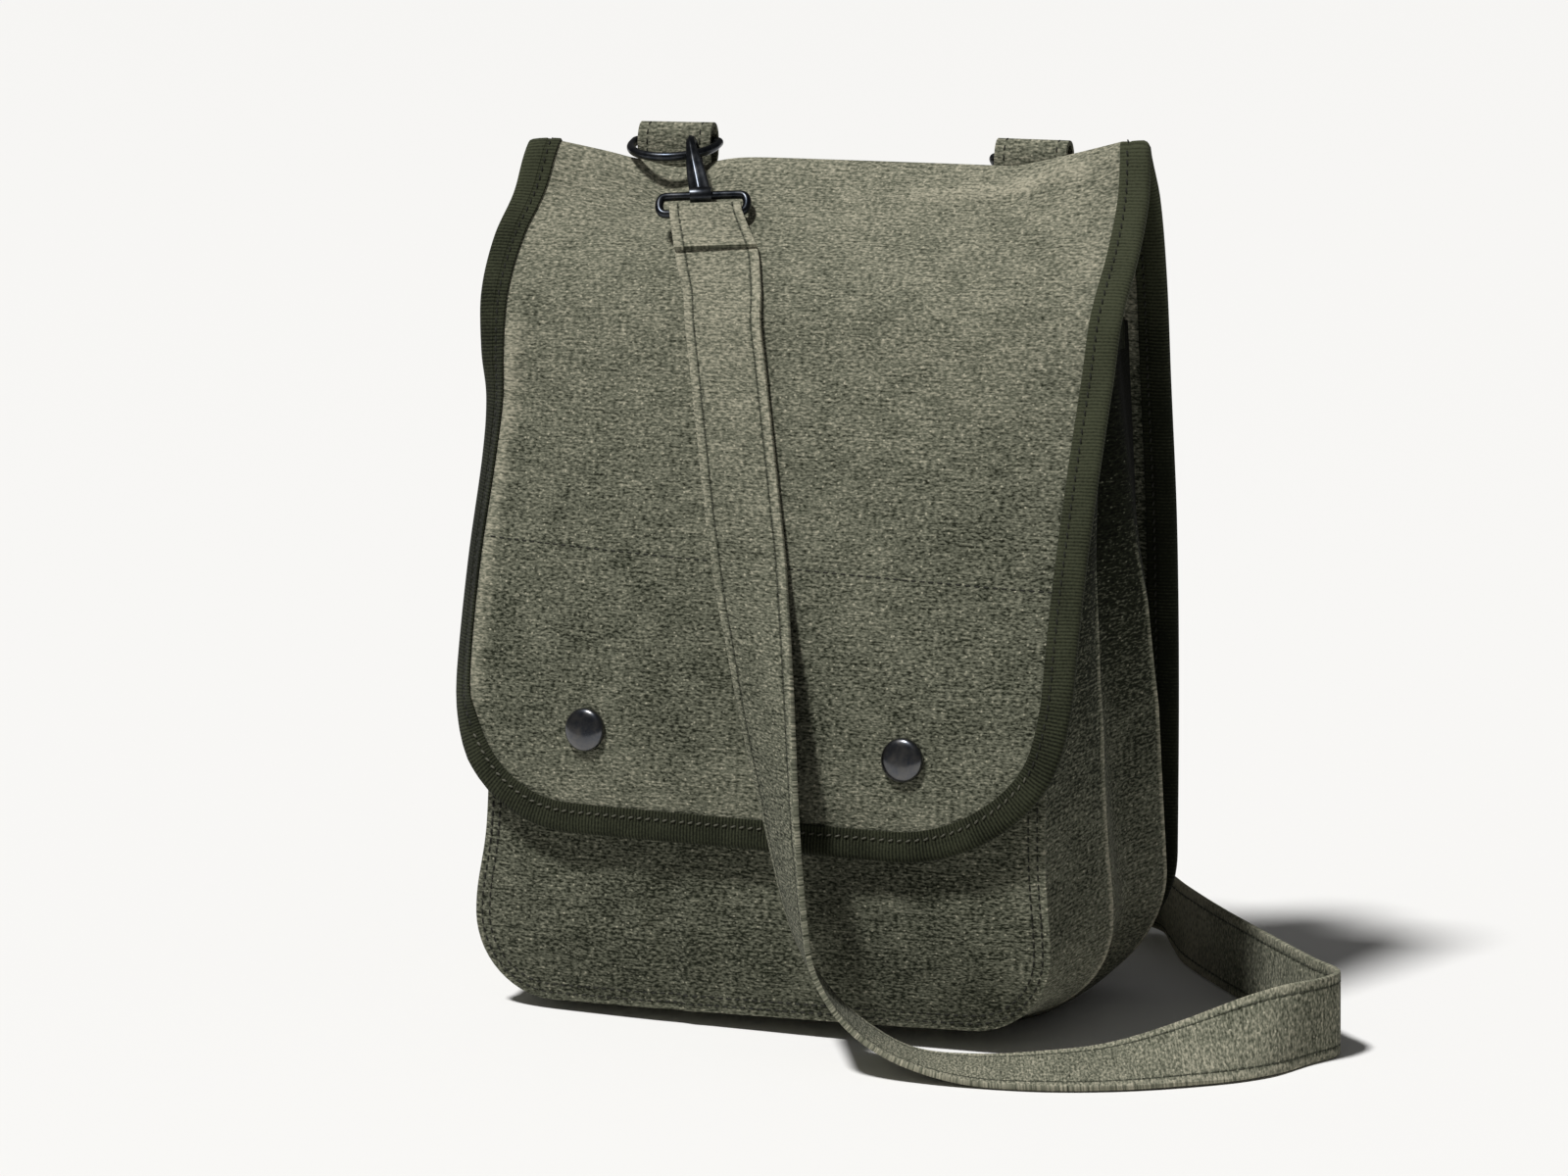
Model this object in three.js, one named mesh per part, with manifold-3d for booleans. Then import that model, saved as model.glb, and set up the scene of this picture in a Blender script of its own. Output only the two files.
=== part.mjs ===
// Canvas map case: a wedge-shaped shoulder bag with a long flap, closed by two press studs,
// its strap hooked on a ring at the top left and hanging over the flap to the ground.
// Millimetres, +Z up. The front faces -Y and the base stands on z = 0 round the origin.
import * as THREE from 'three';
import { mergeVertices } from 'three/addons/utils/BufferGeometryUtils.js';
import Module from 'manifold-3d';

const wasm = await Module();
wasm.setup();

// Stock
const CANVAS = 1.6;
const TAPE = 1.0;
const STRAP = 2.0;
const STRAP_WIDTH = 28.5;
const RING_WIRE = 1.6;
const BAIL_WIRE = 1.5;
const GAP = 0.35;

// Back panel and flap, one sheet
const HEM_RADIUS_LEFT = 46;
const HEM_RADIUS_RIGHT = 60;
const BACK_RADIUS = 36;
const BINDING_WIDTH = 8.6;
const SEAM_INSET = 13;

// Dent that the left ring and hook press into the top fold
const DENT_X = -63;
const DENT_WIDTH = 14;
const DENT_DEPTH = 5;
const DENT_PAST_TOP = 7;
const DENT_LENGTH = 18;

// Front panel and gusset
const FRONT_RADIUS = 28;
const FRONT_BOTTOM = 6;
const FRONT_SKEW = 0.03;
const FRONT_SKEW_TOP = 60;
const FRONT_SEAM_INSET = 1.3;
const GUSSET_TOP = 236;
const SEAM_GAP = 0.6;
const TAPE_DEPTH = 10;
const TAPE_CLEARANCE = 0.9;

// Facets
const FOLD_LIMIT = 0.6;
const ROD_SIDES = 12;
const SNAP_SIDES = 14;
const WIRE_SIDES = 8;
const RING_ARC_STEPS = 10;
const BAIL_STEPS = 6;
const WRAP_STEPS = 6;

// Press studs
const SNAP_CAP_RADIUS = 7.5;
const SNAP_POST_RADIUS = 2.4;
const SOCKET_RADIUS = 6;
const SOCKET_HEIGHT = 2.1;
const SOCKET_BORE = 2.9;
const SOCKET_DEPTH = 1.5;
const STUD_FLANGE = 5.4;
const STUD_POST = 1.8;
const RIVET_RADIUS = 4.4;
const RIVET_HEIGHT = 0.9;

// Rings and their loops
const RING_HALF_WIDTH = 15.4;
const RING_SIDE = 4;
const RING_DEPTH = 18;
const RING_CORNER = 1.4;
const LOOP_WIDTH = 26.5;

// Snap hooks
const HOOK_EYE = 4.6;
const COLLAR_Y = 0.6;
const COLLAR_Z = -23.4;
const COLLAR_RADIUS = 3.1;
const COLLAR_WIDTH = 7.4;
const BAIL_HALF_WIDTH = 15.2;
const BAIL_END = 3.8;
const BAIL_END_POWER = 0.5;
const HINGE_Y = -2.4;
const HINGE_Z = -15.5;
const HINGE_PIN = 0.8;
const CHEEK_WIDTH = 6.4;
const CHEEK_DEPTH = 5.4;
const CHEEK_HEIGHT = 5;
const CHEEK_WALL = 1.4;
const SLOT_DEPTH = 4.6;
const SLOT_HEIGHT = 5.2;
const EYE_WALL = 0.9;
const GATE_WIDTH = 2.6;
const GATE_THICKNESS = 1.3;
const GATE_TIP_Z = -5.95;
const STRAP_TAB = 16;
const STRAP_SQUEEZE = 0.87;

const table = (columns, rows) => {
  const names = columns.split(' ');
  return rows.map((row) => Object.fromEntries(names.map((name, i) => [name, row[i]])));
};

// The sheet from the back's lower edge, over the top, down to the flap's hem. y and z are the
// middle of a row, left and right its half widths, the next four how far each edge lies from the
// middle, and turn how steeply the bound strip at the left edge turns back.
const SHEET_ROWS = table('y z left right leftY leftZ rightY rightZ turn', [
  [52, 12.5, 110, 113, 0, 0, 2, 0, 0],
  [54, 45, 110, 112.9, 0, 0, 2, 0, 0],
  [55.5, 110, 110.4, 112.7, 0, 0, 3, 0, 0],
  [55, 165, 111, 112.4, 0, 0, 3, 0, 0],
  [52.5, 215, 111.6, 112.1, -1, 0, 1, 0, 0],
  [49, 250, 113, 112.4, -4, 0.8, 0, 0.8, 0],
  [47.5, 273, 114, 111.8, -11, 3.6, -3, 5.4, 0],
  [46, 284, 114.4, 111.2, -16, 5.4, -8, 9.6, 0],
  [43, 287.2, 113.2, 111.6, -17, 5, -7, 10, 0],
  [38, 283, 113, 112.4, -17, 5, -4, 9.6, 0],
  [28, 272, 114.3, 113.2, -13, 3.2, 2, 6.8, 0],
  [15, 260, 117, 113.1, -10, 1.5, 6, 2.4, 0],
  [-1, 243, 117.7, 112.4, -4.5, 0, 8, 0, 0.12],
  [-9, 224, 116.5, 112.2, -1.5, 0, 8.5, 0, 0.34],
  [-15.5, 208, 115.3, 112.2, 3.5, 0, 7.5, 0, 0.58],
  [-23, 188, 115.6, 112.2, 5.5, 0, 6, 0, 0.84],
  [-35.5, 153, 116.4, 112.1, 5.5, 0, 5, 0, 0.98],
  [-46.5, 117, 115.5, 113.4, 5.5, 0, 3, 0, 0.82],
  [-51, 93, 113.5, 116.4, 5, 0, 2, 0, 0.45],
  [-53.5, 67.5, 112.2, 114.6, 3, 0, 1, 0, 0],
]);

// How the rows are shared out along the sheet: up to which row of the table, in how many steps
const SHEET_SPANS = table('row steps', [[5, 8], [6, 2], [10, 9], [18, 17]]);
const CORNER_STEPS = [0, 0.02, 0.08, 0.2, 0.4, 0.68, 1];
const SHEET_COLUMNS = 12;
const EDGE_POWER = 3;
const EAR_POWER = 1.1;
const EAR_START = { left: 0.78, right: 0.6 };

// The front panel from its top edge down; back is how far its edges lie behind its middle
const FRONT_ROWS = table('z y left right back', [
  [241, 7.5, 100, 102, 6],
  [224, -2.5, 101, 103, 6],
  [188, -16.8, 101.5, 103.5, 6],
  [153, -29.4, 101.5, 104, 6],
  [117, -40.6, 101.5, 104, 6],
  [85, -46.2, 102, 104.5, 5],
  [62, -48.2, 102.5, 105.5, 4.5],
  [40, -49.5, 106, 107.5, 4],
  [24, -49.2, 106.5, 107.5, 4],
  [6, -46.5, 106.5, 107, 4],
]);
const FRONT_ROW_STEPS = 10;
const FRONT_COLUMNS = 12;

// Accordion folds across the gusset from the front seam to the back seam: how much further back they
// lie low down, how far the cloth stands out from the straight line between the seams, at the foot of
// the sides, half way up and at the top, and how far it sags below that line under the base, where the
// ground then flattens it
const GUSSET_FOLDS = table('across shift low mid high base', [
  [0, 0, 0, 0, 0, 0],
  [0.1, 0.05, 3.6, 2.2, 0.5, 3],
  [0.26, 0.11, 10, 5.4, 1, 7.5],
  [0.5, 0.12, 6.5, -3, -15, 17],
  [0.74, 0.11, 14.5, 9.5, -4, 18],
  [0.9, 0.02, 5.4, 4, -2, 6.5],
  [1, 0, 0, 0, 0, 0],
]);
const GUSSET_LOW_Z = 45;
const GUSSET_SHIFT_RISE = 0.6;
const GUSSET_COLUMNS = 10;
const GUSSET_SIDE_STEPS = 9;
const GUSSET_CORNER_STEPS = 5;
const GUSSET_BASE_STEPS = 3;

// Canvas loops on the back that hold the rings: the middle line of the strip, up one leg, round the
// eye and down the other, by the distance out from the back panel's face and the height
const LOOP_LINE = table('out z', [
  [1.3, 256], [1.3, 270], [1.3, 281.5], [0.6, 287], [0.9, 294], [2.4, 297.4], [4.2, 298.2],
  [6, 297.2], [7.2, 294], [6.6, 287], [3.3, 281], [3.3, 270], [3.3, 256],
]);
const LOOP_SEWN_TOP = 281;
const EYE_OUT = 3.9;
const EYE_Z = 292.2;

// Places of the press studs on the flap
const SNAPS = table('name x z', [['left', -60.3, 101.5], ['right', 57.4, 100.1]]);

// Dome of a press stud's cap: share of its radius and height above its rim
const CAP_PROFILE = table('radius height', [
  [0, 2.7], [0.36, 2.55], [0.66, 2.1], [0.88, 1.3], [1, 0.4], [0.97, 0],
]);

// Middle line of a snap hook from its tip over the nose to the collar, with its width and thickness,
// and its ridged section in shares of those
const HOOK_LINE = table('y z wide thick', [
  [-4.6, -5.5, 2.4, 2], [-4.6, 0, 3, 2.5], [-3.25, 3.25, 3, 2.6], [0, 4.6, 3, 2.6],
  [3.25, 3.25, 3, 2.6], [4.6, 0, 3.2, 2.6], [4.6, -5, 4.2, 2.7], [4.1, -10, 5.6, 2.8],
  [2.8, -15.6, 6.8, 3], [0.9, -21.4, 7.4, 4.2],
]);
const HOOK_SECTION = [[-1, -0.25], [0, -0.5], [1, -0.25], [1, 0.2], [0, 0.5], [-1, 0.2]];

// Each side of the top: the loop's middle and how much lower it is, the way that the ring points
// from its bar, where on the ring the hook hangs and how far it is pushed up on it, how far the bail
// and the strap slide along the bail's bar and how the strap leans from it, the hook's way down and
// out, and the same two for the bail and the strap
const SIDES = [
  {
    name: 'left',
    x: -67.5,
    lower: 0,
    ringWay: [0, -0.98, -0.2],
    hookAngle: 46,
    hookUp: 1.3,
    slide: 0.8,
    lean: 0.229,
    down: [0.424, -0.69, -0.587],
    out: [0, -0.666, 0.746],
    strapDown: [0.283, -0.656, -0.7],
    bailOut: [0.249, -0.654, 0.714],
  },
  {
    name: 'right',
    x: 65.5,
    lower: 2.5,
    ringWay: [0, 0.74, -0.673],
    hookAngle: 90,
    hookUp: 0,
    slide: 0,
    lean: 0,
    down: [0, 0, -1],
    out: [0, 1, 0],
    strapDown: [0, 0, -1],
    bailOut: [0, 1, 0],
  },
];

// The strap between its two bails: its middle line and the way of its width. It lies on the flap,
// turns edge-on at the hem, lands flat, rises on its edge to a sharp fold on the right, runs round
// behind the bag and climbs the back to the right hook.
const STRAP_ROUTE = table('x y z wx wy wz', [
  [-33.6, 5.6, 258.6, 0.92, 0.38, 0.07],
  [-30.4, 1, 252, 0.97, 0.2, 0.06],
  [-28, -2.6, 246.6, 1, 0.08, 0.03],
  [-25.7, -7.6, 237.3, 1, 0, 0],
  [-22.3, -12, 224.7, 1, 0, 0],
  [-18.6, -17.2, 211.5, 1, 0, 0],
  [-14, -23.4, 195.1, 1, 0, 0],
  [-9.5, -29.6, 178.8, 1, 0, 0],
  [-5, -35.4, 163, 1, -0.04, 0],
  [-0.8, -41.5, 149, 0.99, -0.13, 0],
  [4.2, -48.4, 135, 0.96, -0.27, 0],
  [8.4, -53.8, 120, 0.92, -0.38, 0],
  [12.8, -59.2, 104, 0.86, -0.5, 0],
  [17.4, -64.4, 88, 0.78, -0.62, 0],
  [21.8, -68.5, 70, 0.7, -0.71, 0],
  [26.3, -71.8, 52, 0.62, -0.78, 0],
  [31.4, -74, 36, 0.52, -0.85, 0],
  [41, -75.5, 22.5, 0.46, -0.89, 0],
  [52.5, -75, 12.6, 0.4, -0.92, 0.04],
  [68, -73.5, 5.2, 0.33, -0.945, 0.08],
  [88, -71.5, 2.6, 0.34, -0.94, -0.04],
  [112.6, -67.5, 3.5, 0.4, -0.9, -0.14],
  [135.5, -58.5, 5.1, 0.42, -0.87, -0.26],
  [158, -45.2, 8.8, 0.42, -0.73, -0.53],
  [177.5, -32, 13.3, 0.22, -0.42, -0.88],
  [188.5, -18, 14.7, 0, 0, -1],
  [193.5, -7, 14.7, 0, 0, -1],
  [192, -0.5, 14.7, 0, 0, -1],
  [180, 10, 14.7, 0, 0, -1],
  [155, 35, 14.7, 0, 0, -1],
  [128, 63, 14.7, 0, 0, -1],
  [106, 88, 14.7, 0, 0, -1],
  [92, 108, 14.7, 0.1, 0.1, -0.99],
  [80, 121, 14.5, 0.3, 0.25, -0.9],
  [68, 122, 13.7, 0.65, 0.1, -0.73],
  [62, 112, 7.9, 0.93, 0, -0.35],
  [61, 98, 4, 1, 0, -0.08],
  [61.5, 84, 7, 1, 0, 0],
  [62, 75, 18, 1, 0, 0],
  [62.5, 70, 38, 1, 0, 0],
  [63, 67, 70, 1, 0, 0],
  [64, 64.5, 115, 1, 0, 0],
  [65, 62, 165, 1, 0, 0],
  [65.5, 60.5, 210, 1, 0, 0],
  [65.5, 60, 236, 1, 0, 0],
]);

const AXIS_X = new THREE.Vector3(1, 0, 0);
const AXIS_Y = new THREE.Vector3(0, 1, 0);
const AXIS_Z = new THREE.Vector3(0, 0, 1);
const vec = (array) => new THREE.Vector3(...array);

// Smooth values of every column of a table at a place along one of its columns
function rowAt(rows, key, place) {
  const last = rows.length - 1;
  const turn = rows[last][key] > rows[0][key] ? 1 : -1;
  let i = 0;
  while (i < last - 1 && (place - rows[i + 1][key]) * turn > 0) i++;
  const span = rows[i + 1][key] - rows[i][key];
  const t = (place - rows[i][key]) / span;
  const slope = (name, k) => {
    const a = Math.max(k - 1, 0);
    const b = Math.min(k + 1, last);
    return (rows[b][name] - rows[a][name]) / (rows[b][key] - rows[a][key]);
  };
  const value = {};
  for (const name of Object.keys(rows[0])) {
    const p = rows[i][name];
    const q = rows[i + 1][name];
    const m = slope(name, i) * span;
    const n = slope(name, i + 1) * span;
    value[name] = p + t * (m + t * (3 * (q - p) - 2 * m - n + t * (2 * (p - q) + m + n)));
  }
  return value;
}

// How far a rounded corner draws the edge in, at a height above the edge that it rounds
const cornerInset = (radius, height) =>
  height >= radius ? 0 : radius - Math.sqrt(radius * radius - (radius - height) ** 2);

// Closed mesh through rings of points, each ring a closed section; open ends are capped
function skin(rings, closed) {
  const points = rings.flat();
  const size = rings[0].length;
  const index = [];
  const steps = closed ? rings.length : rings.length - 1;
  for (let i = 0; i < steps; i++) {
    const a = i * size;
    const b = ((i + 1) % rings.length) * size;
    for (let j = 0; j < size; j++) {
      const k = (j + 1) % size;
      index.push(a + j, a + k, b + k, a + j, b + k, b + j);
    }
  }
  if (!closed) {
    capFaces(rings[0]).forEach(([a, b, c]) => index.push(a, c, b));
    const last = steps * size;
    capFaces(rings[steps]).forEach(([a, b, c]) => index.push(last + a, last + b, last + c));
  }
  return outwards(points, index);
}

// Triangles across a flat ring of points
function capFaces(ring) {
  const normal = new THREE.Vector3();
  ring.forEach((p, j) => normal.add(p.clone().cross(ring[(j + 1) % ring.length])));
  const axisX = ring[1].clone().sub(ring[0]).normalize();
  const axisY = normal.normalize().cross(axisX);
  const outline = ring.map((p) => new THREE.Vector2(p.dot(axisX), p.dot(axisY)));
  return THREE.ShapeUtils.triangulateShape(outline, []);
}

// Geometry from points and triangles, turned so that its faces point outwards
function outwards(points, index) {
  let volume = 0;
  for (let i = 0; i < index.length; i += 3) {
    const [a, b, c] = [points[index[i]], points[index[i + 1]], points[index[i + 2]]];
    volume += a.dot(b.clone().cross(c));
  }
  if (volume < 0) {
    for (let i = 0; i < index.length; i += 3) {
      [index[i], index[i + 1]] = [index[i + 1], index[i]];
    }
  }
  const geometry = new THREE.BufferGeometry().setFromPoints(points);
  geometry.setIndex(index);
  return geometry;
}

// The normal of a grid of points at one of them, lengthened at a fold so that the walls on either
// side of it keep their thickness
function clothOffset(grid, i, j) {
  const faces = [];
  for (const di of [-1, 1]) {
    for (const dj of [-1, 1]) {
      const [row, column] = [grid[i + di], grid[i][j + dj]];
      if (!row || !column) continue;
      const along = row[j].clone().sub(grid[i][j]).multiplyScalar(di);
      faces.push(along.cross(column.clone().sub(grid[i][j]).multiplyScalar(dj)).normalize());
    }
  }
  const normal = faces.reduce((sum, face) => sum.add(face), new THREE.Vector3()).normalize();
  const tightest = Math.min(...faces.map((face) => face.dot(normal)));
  return normal.divideScalar(Math.max(tightest, FOLD_LIMIT));
}

// Cloth of even thickness on a grid of points, rows by columns
function cloth(grid, thickness) {
  const rows = grid.length;
  const columns = grid[0].length;
  const places = grid.flatMap((row, i) => row.map((p, j) => [p, clothOffset(grid, i, j)]));
  const face = (way) => places.map(([p, offset]) => p.clone().addScaledVector(offset, (way * thickness) / 2));
  const index = [];
  const far = rows * columns;
  for (let i = 0; i < rows - 1; i++) {
    for (let j = 0; j < columns - 1; j++) {
      const a = i * columns + j;
      const b = a + columns;
      index.push(a, b, b + 1, a, b + 1, a + 1);
      index.push(far + a, far + b + 1, far + b, far + a, far + a + 1, far + b + 1);
    }
  }
  const rim = [];
  for (let j = 0; j < columns; j++) rim.push(j);
  for (let i = 1; i < rows; i++) rim.push(i * columns + columns - 1);
  for (let j = columns - 2; j >= 0; j--) rim.push((rows - 1) * columns + j);
  for (let i = rows - 2; i > 0; i--) rim.push(i * columns);
  rim.forEach((a, k) => {
    const b = rim[(k + 1) % rim.length];
    index.push(a, b, far + b, a, far + b, far + a);
  });
  return outwards([...face(1), ...face(-1)], index);
}

// Flat closed loop of round wire through a ring of points
function wire(points, radius, sides) {
  const flat = new THREE.Vector3();
  points.forEach((p, i) => flat.add(p.clone().sub(points[0]).cross(points.at(i - 1).clone().sub(points[0]))));
  flat.normalize();
  return skin(points.map((centre, i) => {
    const way = points[(i + 1) % points.length].clone().sub(points.at(i - 1)).normalize();
    const side = way.cross(flat);
    return Array.from({ length: sides }, (_, k) => {
      const angle = (2 * Math.PI * k) / sides;
      return centre.clone().addScaledVector(side, radius * Math.cos(angle))
        .addScaledVector(flat, radius * Math.sin(angle));
    });
  }), true);
}

// Closed meshes as solids for cutting and joining, and back
function solid(geometry) {
  const bare = new THREE.BufferGeometry();
  bare.setAttribute('position', geometry.getAttribute('position'));
  bare.setIndex(geometry.getIndex());
  const merged = mergeVertices(bare, 1e-4);
  return new wasm.Manifold(new wasm.Mesh({
    numProp: 3,
    vertProperties: new Float32Array(merged.getAttribute('position').array),
    triVerts: new Uint32Array(merged.getIndex().array),
  }));
}

function geometryOf(manifold) {
  const mesh = manifold.getMesh();
  const geometry = new THREE.BufferGeometry();
  geometry.setAttribute('position', new THREE.BufferAttribute(mesh.vertProperties, 3));
  geometry.setIndex(new THREE.BufferAttribute(mesh.triVerts, 1));
  return geometry;
}

function rod(radius, length, axis, place) {
  const geometry = new THREE.CylinderGeometry(radius, radius, length, ROD_SIDES);
  const turn = new THREE.Quaternion().setFromUnitVectors(AXIS_Y, axis);
  return geometry.applyQuaternion(turn).translate(place.x, place.y, place.z);
}

const bag = new THREE.Group();

const FINISHES = {
  canvas: { color: 0x5c5d50, roughness: 0.95, metalness: 0 },
  tape: { color: 0x33362c, roughness: 0.9, metalness: 0 },
  metal: { color: 0x23262a, roughness: 0.35, metalness: 0.9 },
};

function piece(name, geometry, finish, parent = bag) {
  const mesh = new THREE.Mesh(geometry, new THREE.MeshStandardMaterial(FINISHES[finish]));
  mesh.name = name;
  parent.add(mesh);
}

// The sheet's surface, by the distance along it and by x
let reach = 0;
SHEET_ROWS.forEach((row, i) => {
  const before = SHEET_ROWS[i - 1] ?? row;
  reach += Math.hypot(row.y - before.y, row.z - before.z);
  row.along = reach;
});
const SHEET_LENGTH = reach;
const SHEET_TOP = SHEET_ROWS.reduce((best, row) => (row.z > best.z ? row : best)).along;

function sheetAt(along, x) {
  const row = rowAt(SHEET_ROWS, 'along', along);
  const side = x < 0 ? 'left' : 'right';
  const share = Math.abs(x / row[side]);
  const ear = Math.abs(x) / (row[side] - BINDING_WIDTH);
  const rise = THREE.MathUtils.clamp((ear - EAR_START[side]) / (1 - EAR_START[side]), 0, 1) ** EAR_POWER;
  const turned = Math.max(BINDING_WIDTH - row.left - x, 0) * row.turn;
  const dent = DENT_DEPTH
    * Math.exp(-(((x - DENT_X) / DENT_WIDTH) ** 2) - ((along - SHEET_TOP - DENT_PAST_TOP) / DENT_LENGTH) ** 2);
  const y = row.y + row[side + 'Y'] * share ** EDGE_POWER + turned;
  return new THREE.Vector3(x, y, row.z + row[side + 'Z'] * rise - dent);
}

// The side of the sheet that faces out of the bag
function sheetNormal(along, x) {
  const step = 0.5;
  const place = THREE.MathUtils.clamp(along, step, SHEET_LENGTH - step);
  const run = sheetAt(place + step, x).sub(sheetAt(place - step, x));
  const across = sheetAt(place, x + step).sub(sheetAt(place, x - step));
  return run.cross(across).normalize();
}

// Half width of the sheet with its rounded corners
function sheetEdge(along, side) {
  const hem = side === 'left' ? HEM_RADIUS_LEFT : HEM_RADIUS_RIGHT;
  const inset = cornerInset(BACK_RADIUS, along) + cornerInset(hem, SHEET_LENGTH - along);
  return rowAt(SHEET_ROWS, 'along', along)[side] - inset;
}

// Place along the sheet, between its top and one of its ends, where it is at a height
function alongAt(z, end, x = 0) {
  let [low, high] = [end, SHEET_TOP];
  for (let i = 0; i < 40; i++) {
    const middle = (low + high) / 2;
    if (sheetAt(middle, x).z < z) low = middle;
    else high = middle;
  }
  return low;
}

// Places across a row: a strip as wide as the binding at each edge, and even columns between
function acrossSheet(along) {
  const left = BINDING_WIDTH - sheetEdge(along, 'left');
  const right = sheetEdge(along, 'right') - BINDING_WIDTH;
  const middle = Array.from({ length: SHEET_COLUMNS + 1 }, (_, j) =>
    left + ((right - left) * j) / SHEET_COLUMNS);
  return [left - BINDING_WIDTH, ...middle, right + BINDING_WIDTH];
}

const sheetStops = CORNER_STEPS.map((share) => share * BACK_RADIUS);
for (const { row, steps } of SHEET_SPANS) {
  const start = sheetStops.at(-1);
  const end = Math.min(SHEET_ROWS[row].along, SHEET_LENGTH - HEM_RADIUS_RIGHT);
  for (let i = 1; i <= steps; i++) sheetStops.push(start + ((end - start) * i) / steps);
}
for (const share of CORNER_STEPS.toReversed().slice(1)) {
  sheetStops.push(SHEET_LENGTH - share * HEM_RADIUS_RIGHT);
}
const sheetGrid = sheetStops.map((along) => acrossSheet(along).map((x) => sheetAt(along, x)));
let sheet = solid(cloth(sheetGrid, CANVAS));

// Front panel, by height and x
function frontAt(z, x) {
  const row = rowAt(FRONT_ROWS, 'z', z);
  const half = x < 0 ? row.left : row.right;
  const low = THREE.MathUtils.clamp((FRONT_SKEW_TOP - z) / FRONT_SKEW_TOP, 0, 1);
  const y = row.y + row.back * Math.abs(x / half) ** EDGE_POWER;
  return new THREE.Vector3(x, y, z + FRONT_SKEW * x * low);
}

function frontNormal(z, x) {
  const step = 0.5;
  const up = frontAt(z + step, x).sub(frontAt(z - step, x));
  const across = frontAt(z, x + step).sub(frontAt(z, x - step));
  return across.cross(up).normalize();
}

const frontStops = CORNER_STEPS.map((share) => FRONT_BOTTOM + share * FRONT_RADIUS);
for (let i = 1; i <= FRONT_ROW_STEPS; i++) {
  const start = FRONT_BOTTOM + FRONT_RADIUS;
  frontStops.push(start + ((FRONT_ROWS[0].z - start) * i) / FRONT_ROW_STEPS);
}
const frontGrid = frontStops.map((z) => {
  const row = rowAt(FRONT_ROWS, 'z', z);
  const inset = cornerInset(FRONT_RADIUS, z - FRONT_BOTTOM);
  const [left, right] = [inset - row.left, row.right - inset];
  return Array.from({ length: FRONT_COLUMNS + 1 }, (_, j) =>
    frontAt(z, left + ((right - left) * j) / FRONT_COLUMNS));
});
let front = solid(cloth(frontGrid, CANVAS));

// Press studs. Their axis runs square out of the flap; depth is the way from the middle of the flap's
// cloth to the middle of the front panel's. Heights in the profiles are along the axis from the flap.
function snapSeat(x, z) {
  const along = alongAt(z, SHEET_LENGTH, x);
  const flap = sheetAt(along, x);
  const axis = sheetNormal(along, x);
  let depth = 0;
  for (let i = 0; i < 30; i++) {
    const p = flap.clone().addScaledVector(axis, -depth);
    depth += p.y < frontAt(p.z, p.x).y ? frontAt(p.z, p.x).y - p.y : 0;
  }
  return { flap, axis, depth };
}

function turned(profile, { flap, axis }) {
  const lathe = new THREE.LatheGeometry(profile.map(([r, h]) => new THREE.Vector2(r, h)), SNAP_SIDES);
  const turn = new THREE.Quaternion().setFromUnitVectors(new THREE.Vector3(0, 1, 0), axis);
  return geometryOf(solid(lathe.applyQuaternion(turn).translate(flap.x, flap.y, flap.z)));
}

for (const { name, x, z } of SNAPS) {
  const seat = snapSeat(x, z);
  const face = CANVAS / 2 + GAP;
  const socketFace = -face - SOCKET_HEIGHT;
  const capLine = CAP_PROFILE.map(({ radius, height }) => [radius * SNAP_CAP_RADIUS, face + height]);
  piece(`snap_cap_${name}`, turned([
    ...capLine, [SNAP_POST_RADIUS, face], [SNAP_POST_RADIUS, -face], [SOCKET_RADIUS, -face],
    [SOCKET_RADIUS, socketFace], [SOCKET_BORE, socketFace],
    [SOCKET_BORE, socketFace + SOCKET_DEPTH], [0, socketFace + SOCKET_DEPTH],
  ].toReversed(), seat), 'metal');

  const panelFace = CANVAS / 2 + GAP - seat.depth;
  const panelBack = -CANVAS / 2 - GAP - seat.depth;
  const flangeFace = socketFace - GAP;
  const bulb = SOCKET_BORE - GAP;
  const bulbTop = socketFace + SOCKET_DEPTH - GAP;
  piece(`snap_stud_${name}`, turned([
    [0, bulbTop], [bulb, bulbTop - GAP], [bulb, flangeFace], [STUD_FLANGE, flangeFace],
    [STUD_FLANGE, panelFace], [STUD_POST, panelFace], [STUD_POST, panelBack],
    [RIVET_RADIUS, panelBack], [RIVET_RADIUS, panelBack - RIVET_HEIGHT], [0, panelBack - RIVET_HEIGHT],
  ].toReversed(), seat), 'metal');

  const panel = seat.flap.clone().addScaledVector(seat.axis, -seat.depth);
  sheet = sheet.subtract(solid(rod(SNAP_POST_RADIUS + GAP, 3 * CANVAS, seat.axis, seat.flap)));
  front = front.subtract(solid(rod(STUD_POST + GAP, 3 * CANVAS, seat.axis, panel)));
}
piece('back_and_flap', geometryOf(sheet), 'canvas');
piece('front_panel', geometryOf(front), 'canvas');

// A channel of tape folded over an edge: points on the edge and on the line that the tape reaches to,
// each with the cloth's normal there
function channel(places, clearance, closed) {
  const near = CANVAS / 2 + clearance;
  const far = near + TAPE;
  return skin(places.map(({ edge, edgeNormal, inner, innerNormal }) => {
    const out = edge.clone().sub(inner).normalize();
    const side = (n) => inner.clone().addScaledVector(innerNormal, n);
    const lip = (o, n) => edge.clone().addScaledVector(out, o).addScaledVector(edgeNormal, n);
    return [
      side(near), lip(clearance, near), lip(clearance, -near), side(-near),
      side(-far), lip(clearance + TAPE, -near), lip(clearance + TAPE, near), side(far),
    ];
  }), closed);
}

const onGrid = (grid, i, edge, inner) => ({
  edge: grid[i][edge],
  edgeNormal: clothOffset(grid, i, edge),
  inner: grid[i][inner],
  innerNormal: clothOffset(grid, i, inner),
});

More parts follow.
